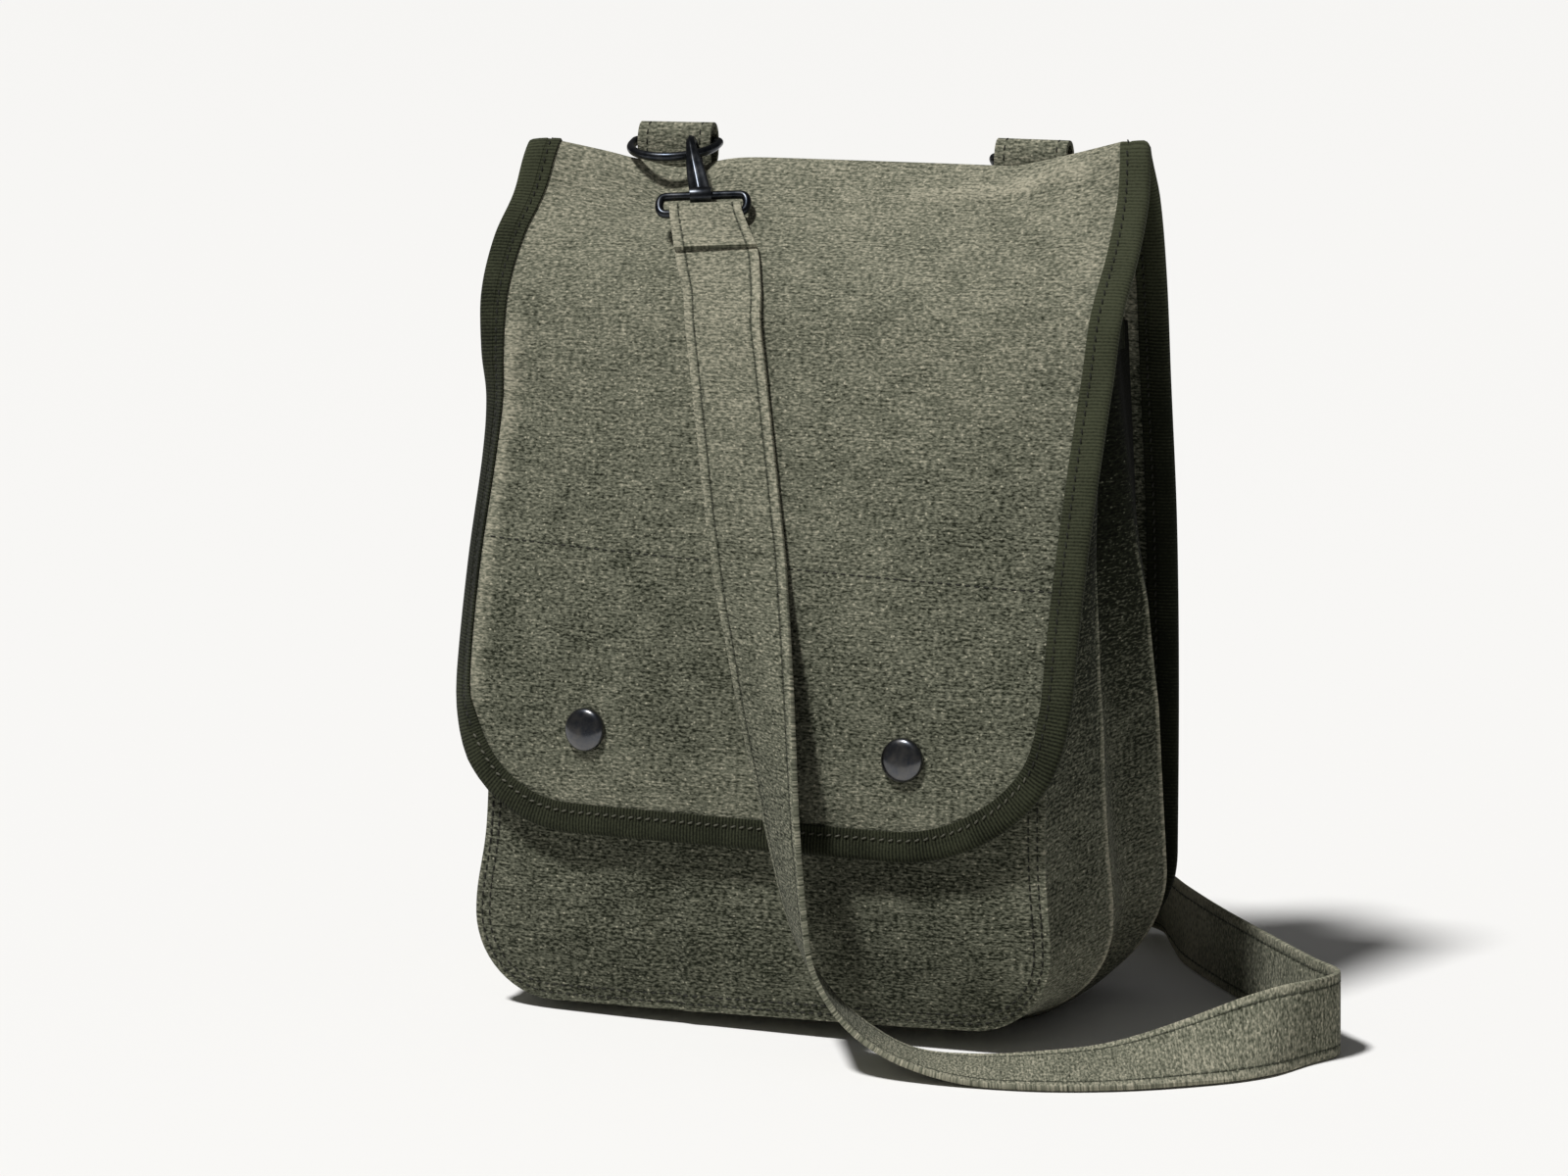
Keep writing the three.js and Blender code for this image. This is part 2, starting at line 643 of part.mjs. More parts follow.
// Edge binding, round the whole sheet: up the left edge, along the hem, back over the right edge and
// along the foot. Between the rounded corners it covers the strip at each end of the sheet's rows.
const corner = CORNER_STEPS.length;
const lastColumn = sheetGrid[0].length - 1;
const sideEdge = (side, edge, inner) => sheetStops.map((along, i) => {
  const place = new THREE.Vector2((edge ? 1 : -1) * sheetEdge(along, side), along);
  const straight = i >= corner && i < sheetStops.length - corner;
  return { place, grid: straight ? onGrid(sheetGrid, i, edge, inner) : null };
});
const endEdge = (along) => acrossSheet(along).slice(1, -1).filter((_, j) => j % 2)
  .map((x) => ({ place: new THREE.Vector2(x, along) }));
const edgeLoop = [
  ...sideEdge('left', 0, 1), ...endEdge(SHEET_LENGTH),
  ...sideEdge('right', lastColumn, lastColumn - 1).toReversed(), ...endEdge(0).toReversed(),
];
const bound = edgeLoop.map(({ place, grid }, i) => {
  const way = edgeLoop[(i + 1) % edgeLoop.length].place.clone().sub(edgeLoop.at(i - 1).place).normalize();
  const inner = new THREE.Vector2(place.x + way.y * BINDING_WIDTH, place.y - way.x * BINDING_WIDTH);
  return grid ?? {
    edge: sheetAt(place.y, place.x),
    edgeNormal: sheetNormal(place.y, place.x),
    inner: sheetAt(inner.y, inner.x),
    innerNormal: sheetNormal(inner.y, inner.x),
  };
});
piece('edge_binding', channel(bound, TAPE_CLEARANCE, true), 'tape');

// Gusset: its two seams on one side, by how far down the side, round the corner and along the base
function gussetSeams(side, down, angle, base) {
  const name = side < 0 ? 'left' : 'right';
  const away = CANVAS / 2 + SEAM_GAP;
  const frontArc = FRONT_RADIUS - FRONT_SEAM_INSET;
  const frontCorner = FRONT_BOTTOM + FRONT_RADIUS;
  const z = THREE.MathUtils.lerp(GUSSET_TOP, frontCorner, down) - frontArc * Math.sin(angle);
  const frontHalf = rowAt(FRONT_ROWS, 'z', z)[name] - FRONT_RADIUS + frontArc * Math.cos(angle);
  const frontX = side * frontHalf * (1 - base);
  const backArc = BACK_RADIUS - SEAM_INSET;
  const along = THREE.MathUtils.lerp(alongAt(GUSSET_TOP, 0), BACK_RADIUS, down) - backArc * Math.sin(angle);
  const backHalf = rowAt(SHEET_ROWS, 'along', along)[name] - BACK_RADIUS + backArc * Math.cos(angle);
  const backX = side * backHalf * (1 - base);
  return [
    frontAt(z, frontX).addScaledVector(frontNormal(z, frontX), -away),
    sheetAt(along, backX).addScaledVector(sheetNormal(along, backX), -away),
  ];
}

function gussetRow(side, down, angle, base) {
  const [frontSeam, backSeam] = gussetSeams(side, down, angle, base);
  const out = new THREE.Vector3(side * Math.cos(angle), 0, -Math.sin(angle));
  return Array.from({ length: GUSSET_COLUMNS + 1 }, (_, j) => {
    const across = j / GUSSET_COLUMNS;
    const { shift, low, mid, high, base: sag } = rowAt(GUSSET_FOLDS, 'across', across);
    const p = frontSeam.clone().lerp(backSeam, across);
    const rise = THREE.MathUtils.clamp((2 * (p.z - GUSSET_LOW_Z)) / (GUSSET_TOP - GUSSET_LOW_Z), 0, 2);
    const back = shift * THREE.MathUtils.clamp(2 - rise / GUSSET_SHIFT_RISE, 0, 1) * Math.cos(angle);
    p.lerpVectors(frontSeam, backSeam, across + back);
    const stand = rise < 1 ? THREE.MathUtils.lerp(low, mid, rise) : THREE.MathUtils.lerp(mid, high, rise - 1);
    p.addScaledVector(out, THREE.MathUtils.lerp(stand, sag, Math.sin(angle) ** 4));
    p.z = Math.max(p.z, CANVAS / 2);
    return p;
  });
}

function gussetHalf(side) {
  const rows = [];
  for (let i = 0; i < GUSSET_SIDE_STEPS; i++) rows.push(gussetRow(side, i / GUSSET_SIDE_STEPS, 0, 0));
  for (let i = 0; i <= GUSSET_CORNER_STEPS; i++) {
    rows.push(gussetRow(side, 1, (Math.PI * i) / (2 * GUSSET_CORNER_STEPS), 0));
  }
  for (let i = 1; i < GUSSET_BASE_STEPS; i++) {
    rows.push(gussetRow(side, 1, Math.PI / 2, i / GUSSET_BASE_STEPS));
  }
  return rows;
}
const gussetLeft = gussetHalf(-1);
const gussetRight = gussetHalf(1);
const gussetGrid = [...gussetLeft, gussetRow(1, 1, Math.PI / 2, 1), ...gussetRight.toReversed()];
piece('gusset', cloth(gussetGrid, CANVAS), 'canvas');

// Tape on the gusset's two open ends, clear of the seams
for (const [name, grid] of [['left', gussetLeft], ['right', gussetRight]]) {
  const share = TAPE_DEPTH / grid[0][0].distanceTo(grid[1][0]);
  const places = grid[0].map((edge, j) => {
    const edgeNormal = clothOffset(grid, 0, j);
    const inner = edge.clone().lerp(grid[1][j], share);
    const innerNormal = edgeNormal.clone().lerp(clothOffset(grid, 1, j), share);
    return { edge, edgeNormal, inner, innerNormal };
  });
  piece(`gusset_tape_${name}`, channel(places.slice(1, -1), TAPE_CLEARANCE, false), 'tape');
}

// Loops and rings. The ring's bar lies in the loop's eye, in line with the loop.
function loopAt(side, x, out, z) {
  const height = z - side.lower;
  const sewn = Math.min(height, LOOP_SEWN_TOP - side.lower);
  return new THREE.Vector3(x, sheetAt(alongAt(sewn, 0, x), x).y + CANVAS / 2 + out, height);
}

// Makes points of a ring from their places along its bar and away from it
function ringFrame(side) {
  const [start, end] = [-1, 1].map((way) => loopAt(side, side.x + way * LOOP_WIDTH / 2, EYE_OUT, EYE_Z));
  const bar = start.clone().add(end).divideScalar(2);
  const sideways = end.sub(start).normalize();
  const way = vec(side.ringWay);
  way.addScaledVector(sideways, -way.dot(sideways)).normalize();
  return ([x, depth]) => bar.clone().addScaledVector(sideways, x).addScaledVector(way, depth);
}

const ringArc = (angle) =>
  [RING_HALF_WIDTH * Math.cos(angle), RING_SIDE + (RING_DEPTH - RING_SIDE) * Math.sin(angle)];

function ringLine(side) {
  const barEnd = RING_HALF_WIDTH - RING_CORNER;
  const line = Array.from({ length: RING_ARC_STEPS + 1 }, (_, i) => ringArc((Math.PI * i) / RING_ARC_STEPS));
  line.push([-RING_HALF_WIDTH, RING_CORNER], [-barEnd, 0], [barEnd, 0], [RING_HALF_WIDTH, RING_CORNER]);
  return line.map(ringFrame(side));
}

for (const side of SIDES) {
  piece(`ring_${side.name}`, wire(ringLine(side), RING_WIRE, WIRE_SIDES), 'metal');
  const grid = LOOP_LINE.map(({ out, z }) => [-1, 1].map((way) =>
    loopAt(side, side.x + way * LOOP_WIDTH / 2, out, z)));
  piece(`ring_loop_${side.name}`, cloth(grid, CANVAS), 'canvas');
}

// Frame with z against a way down, y out from the bag and x along the bail
function frameAt(place, down, out) {
  const z = vec(down).normalize().negate();
  const y = vec(out);
  y.addScaledVector(z, -y.dot(z)).normalize();
  const frame = new THREE.Group();
  frame.applyMatrix4(new THREE.Matrix4().makeBasis(y.clone().cross(z), y, z).setPosition(place));
  frame.updateMatrixWorld();
  return frame;
}

// Snap hook: tip, nose and shank in one, the sleeve that the bail runs through, and the cheeks and
// pin of the gate. bailAxis is the way of the bail's bar in the hook's frame.
function hookBody(bailAxis) {
  const rings = HOOK_LINE.map(({ y, z, wide, thick }, i) => {
    const before = HOOK_LINE[Math.max(i - 1, 0)];
    const after = HOOK_LINE[Math.min(i + 1, HOOK_LINE.length - 1)];
    const way = new THREE.Vector2(after.y - before.y, after.z - before.z).normalize();
    return HOOK_SECTION.map(([w, n]) =>
      new THREE.Vector3((w * wide) / 2, y - way.y * n * thick, z + way.x * n * thick));
  });
  const collar = rod(COLLAR_RADIUS, COLLAR_WIDTH, bailAxis, new THREE.Vector3(0, COLLAR_Y, COLLAR_Z));
  const cheeks = new THREE.BoxGeometry(CHEEK_WIDTH, CHEEK_DEPTH, CHEEK_HEIGHT);
  cheeks.translate(0, HINGE_Y + CHEEK_DEPTH / 2 - CHEEK_WALL, HINGE_Z - CHEEK_HEIGHT / 2 + CHEEK_WALL);
  const slot = new THREE.BoxGeometry(GATE_WIDTH + 2 * GAP, SLOT_DEPTH, SLOT_HEIGHT);
  slot.translate(0, HINGE_Y, HINGE_Z);
  const pin = rod(HINGE_PIN, CHEEK_WIDTH - GAP, AXIS_X, new THREE.Vector3(0, HINGE_Y, HINGE_Z));
  const bore = rod(BAIL_WIRE + GAP, 4 * COLLAR_RADIUS, bailAxis, new THREE.Vector3(0, COLLAR_Y, COLLAR_Z));
  return geometryOf(solid(skin(rings, false)).add(solid(collar)).add(solid(cheeks)).subtract(solid(slot))
    .add(solid(pin)).subtract(solid(bore)));
}

// Gate: a lever on the pin, closed against the end of the hook's tip
function hookGate() {
  const bore = HINGE_PIN + GAP;
  const pivot = new THREE.Vector3(0, HINGE_Y, HINGE_Z);
  const half = GATE_THICKNESS / 2;
  const lever = new THREE.Shape([
    [HINGE_Y - bore - half, HINGE_Z], [-HOOK_EYE - half, GATE_TIP_Z - GATE_THICKNESS],
    [-HOOK_EYE - half, GATE_TIP_Z], [-HOOK_EYE + half, GATE_TIP_Z],
    [-HOOK_EYE + half, GATE_TIP_Z - GATE_THICKNESS], [HINGE_Y, HINGE_Z + bore + half],
  ].map(([y, z]) => new THREE.Vector2(y, z)));
  const blade = new THREE.ExtrudeGeometry(lever, { depth: GATE_WIDTH, bevelEnabled: false });
  blade.translate(0, 0, -GATE_WIDTH / 2);
  blade.applyMatrix4(new THREE.Matrix4().makeBasis(AXIS_Y, AXIS_Z, AXIS_X));
  const eye = rod(bore + EYE_WALL, GATE_WIDTH, AXIS_X, pivot);
  return geometryOf(solid(eye).add(solid(blade)).subtract(solid(rod(bore, 2 * GATE_WIDTH, AXIS_X, pivot))));
}

// Bail: a flat oval of wire, its upper bar at the frame's origin
function hookBail() {
  const line = [];
  for (const way of [1, -1]) {
    for (let i = 0; i <= BAIL_STEPS; i++) {
      const angle = (Math.PI * i) / BAIL_STEPS;
      const x = BAIL_HALF_WIDTH - BAIL_END + BAIL_END * Math.abs(Math.sin(angle)) ** BAIL_END_POWER;
      line.push(new THREE.Vector3(way * x, 0, -BAIL_END + way * BAIL_END * Math.cos(angle)));
    }
  }
  return wire(line, BAIL_WIRE, WIRE_SIDES);
}

// The strap's end: from its cut tail, round the bail's lower bar, to the strap itself, by the
// distance out from the bag and the height above the bar. The bail squeezes its width.
function strapEnd() {
  const round = BAIL_WIRE + GAP + STRAP / 2;
  const layer = (STRAP + GAP) / 2;
  const ends = [[layer, -STRAP_TAB], [layer, -STRAP_TAB / 2], [round, 0]];
  for (let i = 1; i < WRAP_STEPS; i++) {
    const angle = (Math.PI * i) / WRAP_STEPS;
    ends.push([round * Math.cos(angle), round * Math.sin(angle)]);
  }
  ends.push([-round, 0], [-layer, -STRAP_TAB / 2]);
  return ends;
}

const strapLine = STRAP_ROUTE.map(({ x, y, z, wx, wy, wz }) =>
  ({ p: new THREE.Vector3(x, y, z), wide: new THREE.Vector3(wx, wy, wz).normalize() }));
for (const side of SIDES) {
  const eye = ringFrame(side)(ringArc(THREE.MathUtils.degToRad(side.hookAngle)));
  eye.addScaledVector(vec(side.down).normalize(), -side.hookUp);
  const hookFrame = frameAt(eye, side.down, side.out);
  bag.add(hookFrame);
  const collar = hookFrame.localToWorld(new THREE.Vector3(0, COLLAR_Y, COLLAR_Z));
  const bailFrame = frameAt(collar, side.strapDown, side.bailOut);
  bag.add(bailFrame);
  const bar = new THREE.Vector3().setFromMatrixColumn(bailFrame.matrixWorld, 0);
  const turn = bar.x < 0 ? -1 : 1;
  bailFrame.translateX(turn * side.slide).updateMatrixWorld();
  const bailAxis = bar.clone().transformDirection(hookFrame.matrixWorld.clone().invert());
  piece(`hook_${side.name}`, hookBody(bailAxis), 'metal', hookFrame);
  piece(`hook_gate_${side.name}`, hookGate(), 'metal', hookFrame);
  piece(`hook_bail_${side.name}`, hookBail(), 'metal', bailFrame);

  const first = side.name === 'left';
  const ends = strapEnd().map(([out, up]) => {
    const free = THREE.MathUtils.clamp(-up / STRAP_TAB, 0, 1);
    const slide = turn * (side.slide + side.lean * Math.max(-up, 0));
    return {
      p: bailFrame.localToWorld(new THREE.Vector3(slide, out, up - 2 * BAIL_END)),
      wide: bar.clone().multiplyScalar(turn * THREE.MathUtils.lerp(STRAP_SQUEEZE, 1, free)),
    };
  });
  if (first) strapLine.unshift(...ends);
  else strapLine.push(...ends.toReversed());
}

// The strap, one flat ribbon
const strapRings = strapLine.map(({ p, wide }, i) => {
  const before = strapLine[Math.max(i - 1, 0)].p;
  const after = strapLine[Math.min(i + 1, strapLine.length - 1)].p;
  const face = after.clone().sub(before).cross(wide).normalize();
  return [[1, 1], [-1, 1], [-1, -1], [1, -1]].map(([w, f]) => p.clone()
    .addScaledVector(wide, (w * STRAP_WIDTH) / 2).addScaledVector(face, (f * STRAP) / 2));
});
piece('strap', skin(strapRings, false), 'canvas');

export default bag;
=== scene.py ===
# Canvas map case, standing with its flap snapped shut and its shoulder strap hooked on the left ring.
# The tables are in millimetres, as in the part's source, and MM turns them to Blender's metres.
import math

import bpy
import numpy as np
from mathutils import Matrix, Vector, noise


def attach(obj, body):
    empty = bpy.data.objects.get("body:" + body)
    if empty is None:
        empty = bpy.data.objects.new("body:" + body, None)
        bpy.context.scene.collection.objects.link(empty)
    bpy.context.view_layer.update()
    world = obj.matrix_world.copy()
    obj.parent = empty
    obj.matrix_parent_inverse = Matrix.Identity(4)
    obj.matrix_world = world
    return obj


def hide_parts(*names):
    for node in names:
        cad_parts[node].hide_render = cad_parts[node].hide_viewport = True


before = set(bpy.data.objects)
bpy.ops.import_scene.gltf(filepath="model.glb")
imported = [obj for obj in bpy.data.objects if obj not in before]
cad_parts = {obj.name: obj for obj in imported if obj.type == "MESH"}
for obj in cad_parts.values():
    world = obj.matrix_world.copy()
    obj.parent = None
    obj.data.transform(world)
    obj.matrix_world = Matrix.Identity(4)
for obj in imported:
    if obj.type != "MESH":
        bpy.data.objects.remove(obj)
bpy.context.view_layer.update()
bpy.ops.object.select_all(action="DESELECT")
MM = 0.001

# Camera at the photograph's viewing angle: to the right of the bag's front and a little above it,
# with a long lens on a 36 mm sensor.
CAMERA_AZIMUTH = math.radians(24.5)
CAMERA_ELEVATION = math.radians(11)
CAMERA_ROLL = math.radians(-1)
CAMERA_DISTANCE = 1900
CAMERA_TARGET = Vector((-8, 0, 145))
CAMERA_LENS = 126.9

backwards = Vector((
    math.sin(CAMERA_AZIMUTH) * math.cos(CAMERA_ELEVATION),
    -math.cos(CAMERA_AZIMUTH) * math.cos(CAMERA_ELEVATION),
    math.sin(CAMERA_ELEVATION),
))
rightwards = Vector((math.cos(CAMERA_AZIMUTH), math.sin(CAMERA_AZIMUTH), 0))
camera_turn = Matrix((rightwards, backwards.cross(rightwards), backwards)).transposed()
camera_turn = camera_turn @ Matrix.Rotation(CAMERA_ROLL, 3, "Z")
bpy.ops.object.camera_add()
camera = bpy.context.object
camera.matrix_world = (
    Matrix.Translation((CAMERA_TARGET + CAMERA_DISTANCE * backwards) * MM) @ camera_turn.to_4x4()
)
camera.data.lens = CAMERA_LENS
camera.data.clip_end = 60
bpy.context.scene.camera = camera

# Studio: a wide white floor under one lamp, high up on the left in front of the bag and near enough for
# narrow soft-edged shadows, and a faint even sky.
FLOOR_SIZE = 40
FLOOR_COLOUR = "ebeae8"
SKY_COLOUR = "ffffff"
SKY_STRENGTH = 0.1
KEY_FROM = (-0.211, -0.366, 0.906)
KEY_STRENGTH = 3.68
KEY_SPREAD = 8


def linear(colour):
    """An sRGB hex colour as linear red, green, blue and alpha."""
    shares = [int(colour[i : i + 2], 16) / 255 for i in (0, 2, 4)]
    return [s / 12.92 if s <= 0.04045 else ((s + 0.055) / 1.055) ** 2.4 for s in shares] + [1]


def add_node(tree, kind, settings=None, links=None):
    """One node with its settings, by property or socket or as a ramp's stops, and what leads to it."""
    node = tree.nodes.new(kind)
    for name, value in (settings or {}).items():
        if name == "stops":
            ramp = node.color_ramp.elements
            for element, (place, colour) in zip(list(ramp), (value[0], value[-1])):
                element.position, element.color = place, linear(colour)
            for place, colour in value[1:-1]:
                ramp.new(place).color = linear(colour)
        elif isinstance(name, str) and hasattr(node, name):
            setattr(node, name, value)
        else:
            node.inputs[name].default_value = value
    for name, source in (links or {}).items():
        tree.links.new(source, node.inputs[name])
    return node


def new_material(name):
    """An empty material and its node tree."""
    material = bpy.data.materials.new(name)
    material.use_nodes = True
    material.node_tree.nodes.clear()
    return material, material.node_tree


studio = bpy.data.worlds.new("studio")
studio.use_nodes = True
studio.node_tree.nodes["Background"].inputs["Color"].default_value = linear(SKY_COLOUR)
studio.node_tree.nodes["Background"].inputs["Strength"].default_value = SKY_STRENGTH
bpy.context.scene.world = studio
bpy.context.scene.view_settings.view_transform = "Standard"

bpy.ops.mesh.primitive_plane_add(size=FLOOR_SIZE)
floor = bpy.context.object
floor.name = "floor"
floor_paper, tree = new_material("white_paper")
shader = add_node(tree, "ShaderNodeBsdfPrincipled", {"Base Color": linear(FLOOR_COLOUR), "Roughness": 0.9})
add_node(tree, "ShaderNodeOutputMaterial", None, {"Surface": shader.outputs["BSDF"]})
floor.data.materials.append(floor_paper)

bpy.ops.object.light_add(type="SUN")
key_light = bpy.context.object
key_light.name = "key_light"
key_light.rotation_euler = Vector(KEY_FROM).to_track_quat("Z", "Y").to_euler()
key_light.data.energy = KEY_STRENGTH
key_light.data.angle = math.radians(KEY_SPREAD)

# Front panel: one piece of washed cotton canvas under the flap, rounded at its lower corners and
# sewn to the gusset inside out, with two rows of topstitching beside the seam.
CANVAS = 1.6
CANVAS_SHOWN = 1.5
FRONT_RADIUS = 28
FRONT_BOTTOM = 6
FRONT_SKEW = 0.03
FRONT_SKEW_TOP = 60
EDGE_POWER = 3
FRONT_COLUMNS = 72
FRONT_STITCH_INSETS = (2.6, 5.6)
FRONT_STITCH_TOP = 225
FRONT_STITCH_RISE = 0.45
# painted shade: how much darker the whole front panel is drawn, for the shade under the flap
FRONT_PAINTED_SHADE = 0.54
FRONT_EDGE_WEAR = 0.3
FRONT_EDGE_WIDTH = 2
FRONT_RIPPLE = 0.35
FRONT_RIPPLE_SIZE = 26
FRONT_RIPPLE_SEED = 2.5
FRONT_STEPS = 70
FRONT_CORNER_STEPS = 14
FRONT_SEAM_STEPS = (90, 20, 60)
# z, y, half width left and right, how far the edges lie behind the middle
FRONT_ROWS = np.array([
    [241, 7.5, 100, 102, 6],
    [224, -2.5, 101, 103, 6],
    [188, -16.8, 101.5, 103.5, 6],
    [153, -29.4, 101.5, 104, 6],
    [117, -40.6, 101.5, 104, 6],
    [85, -46.2, 102, 104.5, 5],
    [62, -48.2, 102.5, 105.5, 4.5],
    [40, -49.5, 106, 107.5, 4],
    [24, -49.2, 106.5, 107.5, 4],
    [6, -46.5, 106.5, 107, 4],
])
# how softly a crease ends, in times its width
CREASE_END = 1.5
# Creases: from x, z to x, z, their width, and how far they stand out
FRONT_CREASES = [
    (-22.4, 58, -24.3, 9.7, 2.6, 0.9),
    (-30, 54, -31, 16, 5, -1.1),
    (-43, 52, -40, 22, 6, 0.8),
    (-62.8, 19.8, -43.2, 21.7, 2.4, 0.6),
    (-92, 62, -70, 34, 9, 1.2),
    (70, 60, 84, 30, 8, 1.0),
    (20, 30, 60, 22, 6, -0.8),
]


def row_at(rows, place, key=0):
    """Smooth values of every column of a table at places along its key column."""
    place = np.asarray(place, float)
    keys = rows[:, key]
    turn = 1 if keys[-1] > keys[0] else -1
    i = np.searchsorted(turn * keys[1:-1], turn * place, side="left")
    before = np.maximum(np.arange(len(rows)) - 1, 0)
    after = np.minimum(np.arange(len(rows)) + 1, len(rows) - 1)
    slopes = (rows[after] - rows[before]) / (keys[after] - keys[before])[:, None]
    span = (keys[i + 1] - keys[i])[..., None]
    t = (place - keys[i])[..., None] / span
    p, q = rows[i], rows[i + 1]
    m, n = slopes[i] * span, slopes[i + 1] * span
    return p + t * (m + t * (3 * (q - p) - 2 * m - n + t * (2 * (p - q) + m + n)))


def corner_inset(radius, height):
    """How far a rounded corner draws the edge in, at a height above the edge that it rounds."""
    short = np.clip(radius - height, 0, radius)
    return radius - np.sqrt(radius**2 - short**2)


def creased(creases, a, b):
    """How far creases lift the cloth at its flat places a, b."""
    lift = np.zeros(np.broadcast(a, b).shape)
    for a0, b0, a1, b1, width, height in creases:
        run = np.array([a1 - a0, b1 - b0], float)
        length = np.hypot(*run)
        run /= length
        along = (a - a0) * run[0] + (b - b0) * run[1]
        aside = (a - a0) * run[1] - (b - b0) * run[0]
        beyond = np.maximum(np.maximum(-along, along - length), 0)
        lift += height * np.exp(-((aside / width) ** 2) - (beyond / (CREASE_END * width)) ** 2)
    return lift


def ripple(a, b, size, seed):
    """Gentle unevenness of handled cloth, from -1 to 1, at flat places a, b."""
    a, b = np.broadcast_arrays(a, b)
    return np.array([
        noise.noise((p / size, q / size, seed)) for p, q in zip(a.ravel(), b.ravel())
    ]).reshape(a.shape)


def unit(ways):
    """Ways of length 1."""
    return ways / np.linalg.norm(ways, axis=-1, keepdims=True)


def reach_of(points):
    """Distance of each point of a line from the line's start."""
    return np.concatenate([[0], np.cumsum(np.linalg.norm(np.diff(points, axis=0), axis=1))])


def normals_of(points):
    """Unit normals of a grid of points."""
    return unit(np.cross(np.gradient(points, axis=1), np.gradient(points, axis=0)))


def grid_piece(name, points, flat, wear, material):
    """A mesh on a grid of points, rows by columns, with its flat places as UV and its values of rubbing and
    of painted light and shade.
    """
    rows, columns = points.shape[:2]
    bpy.ops.mesh.primitive_grid_add(x_subdivisions=columns - 1, y_subdivisions=rows - 1)
    piece = bpy.context.object
    piece.name = piece.data.name = name
    mesh = piece.data
    mesh.vertices.foreach_set("co", (points * MM).ravel())
    corners = np.empty(len(mesh.loops), int)
    mesh.loops.foreach_get("vertex_index", corners)
    mesh.uv_layers.active.data.foreach_set("uv", (flat.reshape(-1, 2)[corners] * MM).ravel())
    wear_and_shade_values = mesh.attributes.new("wear", "FLOAT", "POINT")
    wear_and_shade_values.data.foreach_set("value", np.broadcast_to(wear, (rows, columns)).ravel())
    mesh.update()
    if material:
        mesh.materials.append(material)
    return piece


def cloth(name, points, flat, holes=(), wear=0.0):
    """Canvas of even thickness on a grid of points."""
    piece = grid_piece(name, points, flat, wear, canvas)
    for place, radius in holes:
        bpy.ops.object.mode_set(mode="EDIT")
        bpy.ops.mesh.select_mode(type="FACE")
        bpy.ops.mesh.select_all(action="DESELECT")
        bpy.ops.object.mode_set(mode="OBJECT")
        for face in piece.data.polygons:
            face.select = (face.center / MM - Vector(place)).length < radius
        bpy.ops.object.mode_set(mode="EDIT")
        bpy.ops.mesh.delete(type="FACE")
        bpy.ops.object.mode_set(mode="OBJECT")
    wall = piece.modifiers.new("wall", "SOLIDIFY")
    wall.thickness = CANVAS_SHOWN * MM
    wall.offset = 0
    wall.use_even_offset = True
    bpy.ops.object.modifier_apply(modifier="wall")
    bpy.ops.object.shade_smooth_by_angle(angle=math.radians(50))
    piece.select_set(False)
    return piece


def close_up(doubles, open_ends=False):
    """Merges the active piece's double points, fills its open ends and turns its faces outwards."""
    bpy.ops.object.mode_set(mode="EDIT")
    bpy.ops.mesh.select_all(action="SELECT")
    bpy.ops.mesh.remove_doubles(threshold=doubles * MM)
    if open_ends:
        bpy.ops.mesh.select_mode(type="VERT")
        bpy.ops.mesh.select_all(action="DESELECT")
        bpy.ops.mesh.select_non_manifold()
        bpy.ops.mesh.fill_holes(sides=0)
    bpy.ops.mesh.select_all(action="SELECT")
    bpy.ops.mesh.normals_make_consistent(inside=False)
    bpy.ops.object.mode_set(mode="OBJECT")


def fit(piece, node=None, body="bag"):
    """A piece rides on a body and stands for a CAD node, which it hides."""
    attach(piece, body)
    if node:
        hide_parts(node)


# Washed cotton canvas: heathered yarn, so each float of a thread is a lighter or darker dash, with long
# pale and dark threads in the weft, specks of lint and patches paled by washing. Each piece's own values
# add pale rubbing on folds, and painted light and shade.
WEFT_PITCH = 0.8
FLOAT_LENGTH = 1.7
SLUB_LENGTH = 12
LINT_SPACING = 5
FADE_PATCH = 15
FADE_BROAD = 75
# Yarn and fading: length, height, detail, seed
CANVAS_NOISE = [
    (FLOAT_LENGTH, WEFT_PITCH, 1, 11), (SLUB_LENGTH, WEFT_PITCH, 1, 3),
    (FADE_PATCH, 0.7 * FADE_PATCH, 3, 31), (FADE_BROAD, FADE_BROAD, 2, 47),
]
# how strongly the weave, slubs, patches and broad fading show, each about a middle tone
CANVAS_STRENGTHS = (0.68, 0.24, 0.15, 0.12)
CANVAS_TONE = 0.5 - sum(CANVAS_STRENGTHS) / 2
LINT_STRENGTH = 0.22
# how strongly each piece's values of rubbing and of painted light and shade show
WEAR_AND_SHADE_STRENGTH = 0.22
# how much of the weave is single floats
FLOAT_SHARE = 0.12
# the deepest stop is reached only where painted shade darkens the cloth, as high on the gusset
CANVAS_SHADE_DEEP = "0c0d07"
CANVAS_DARK = "22251a"
CANVAS_MIDDLE = "676859"
CANVAS_LIGHT = "a9a490"

canvas, tree = new_material("washed_cotton_canvas")
flat = add_node(tree, "ShaderNodeTexCoord").outputs["UV"]
cells, layers = [], []
for length, height in ((FLOAT_LENGTH, 0.6 * WEFT_PITCH), (LINT_SPACING, LINT_SPACING)):
    mapping = add_node(tree, "ShaderNodeMapping", {
        "Scale": (1 / (length * MM), 1 / (height * MM), 1),
    }, {"Vector": flat})
    cells.append(add_node(tree, "ShaderNodeTexVoronoi", {"voronoi_dimensions": "2D", "Scale": 1}, {
        "Vector": mapping.outputs["Vector"],
    }))
for length, height, detail, seed in CANVAS_NOISE:
    mapping = add_node(tree, "ShaderNodeMapping", {
        "Location": (seed, seed, 0), "Scale": (1 / (length * MM), 1 / (height * MM), 1),
    }, {"Vector": flat})
    layers.append(add_node(tree, "ShaderNodeTexNoise", {
        "noise_dimensions": "2D", "Scale": 1, "Detail": detail, "Roughness": 0.6,
    }, {"Vector": mapping.outputs["Vector"]}).outputs["Fac"])
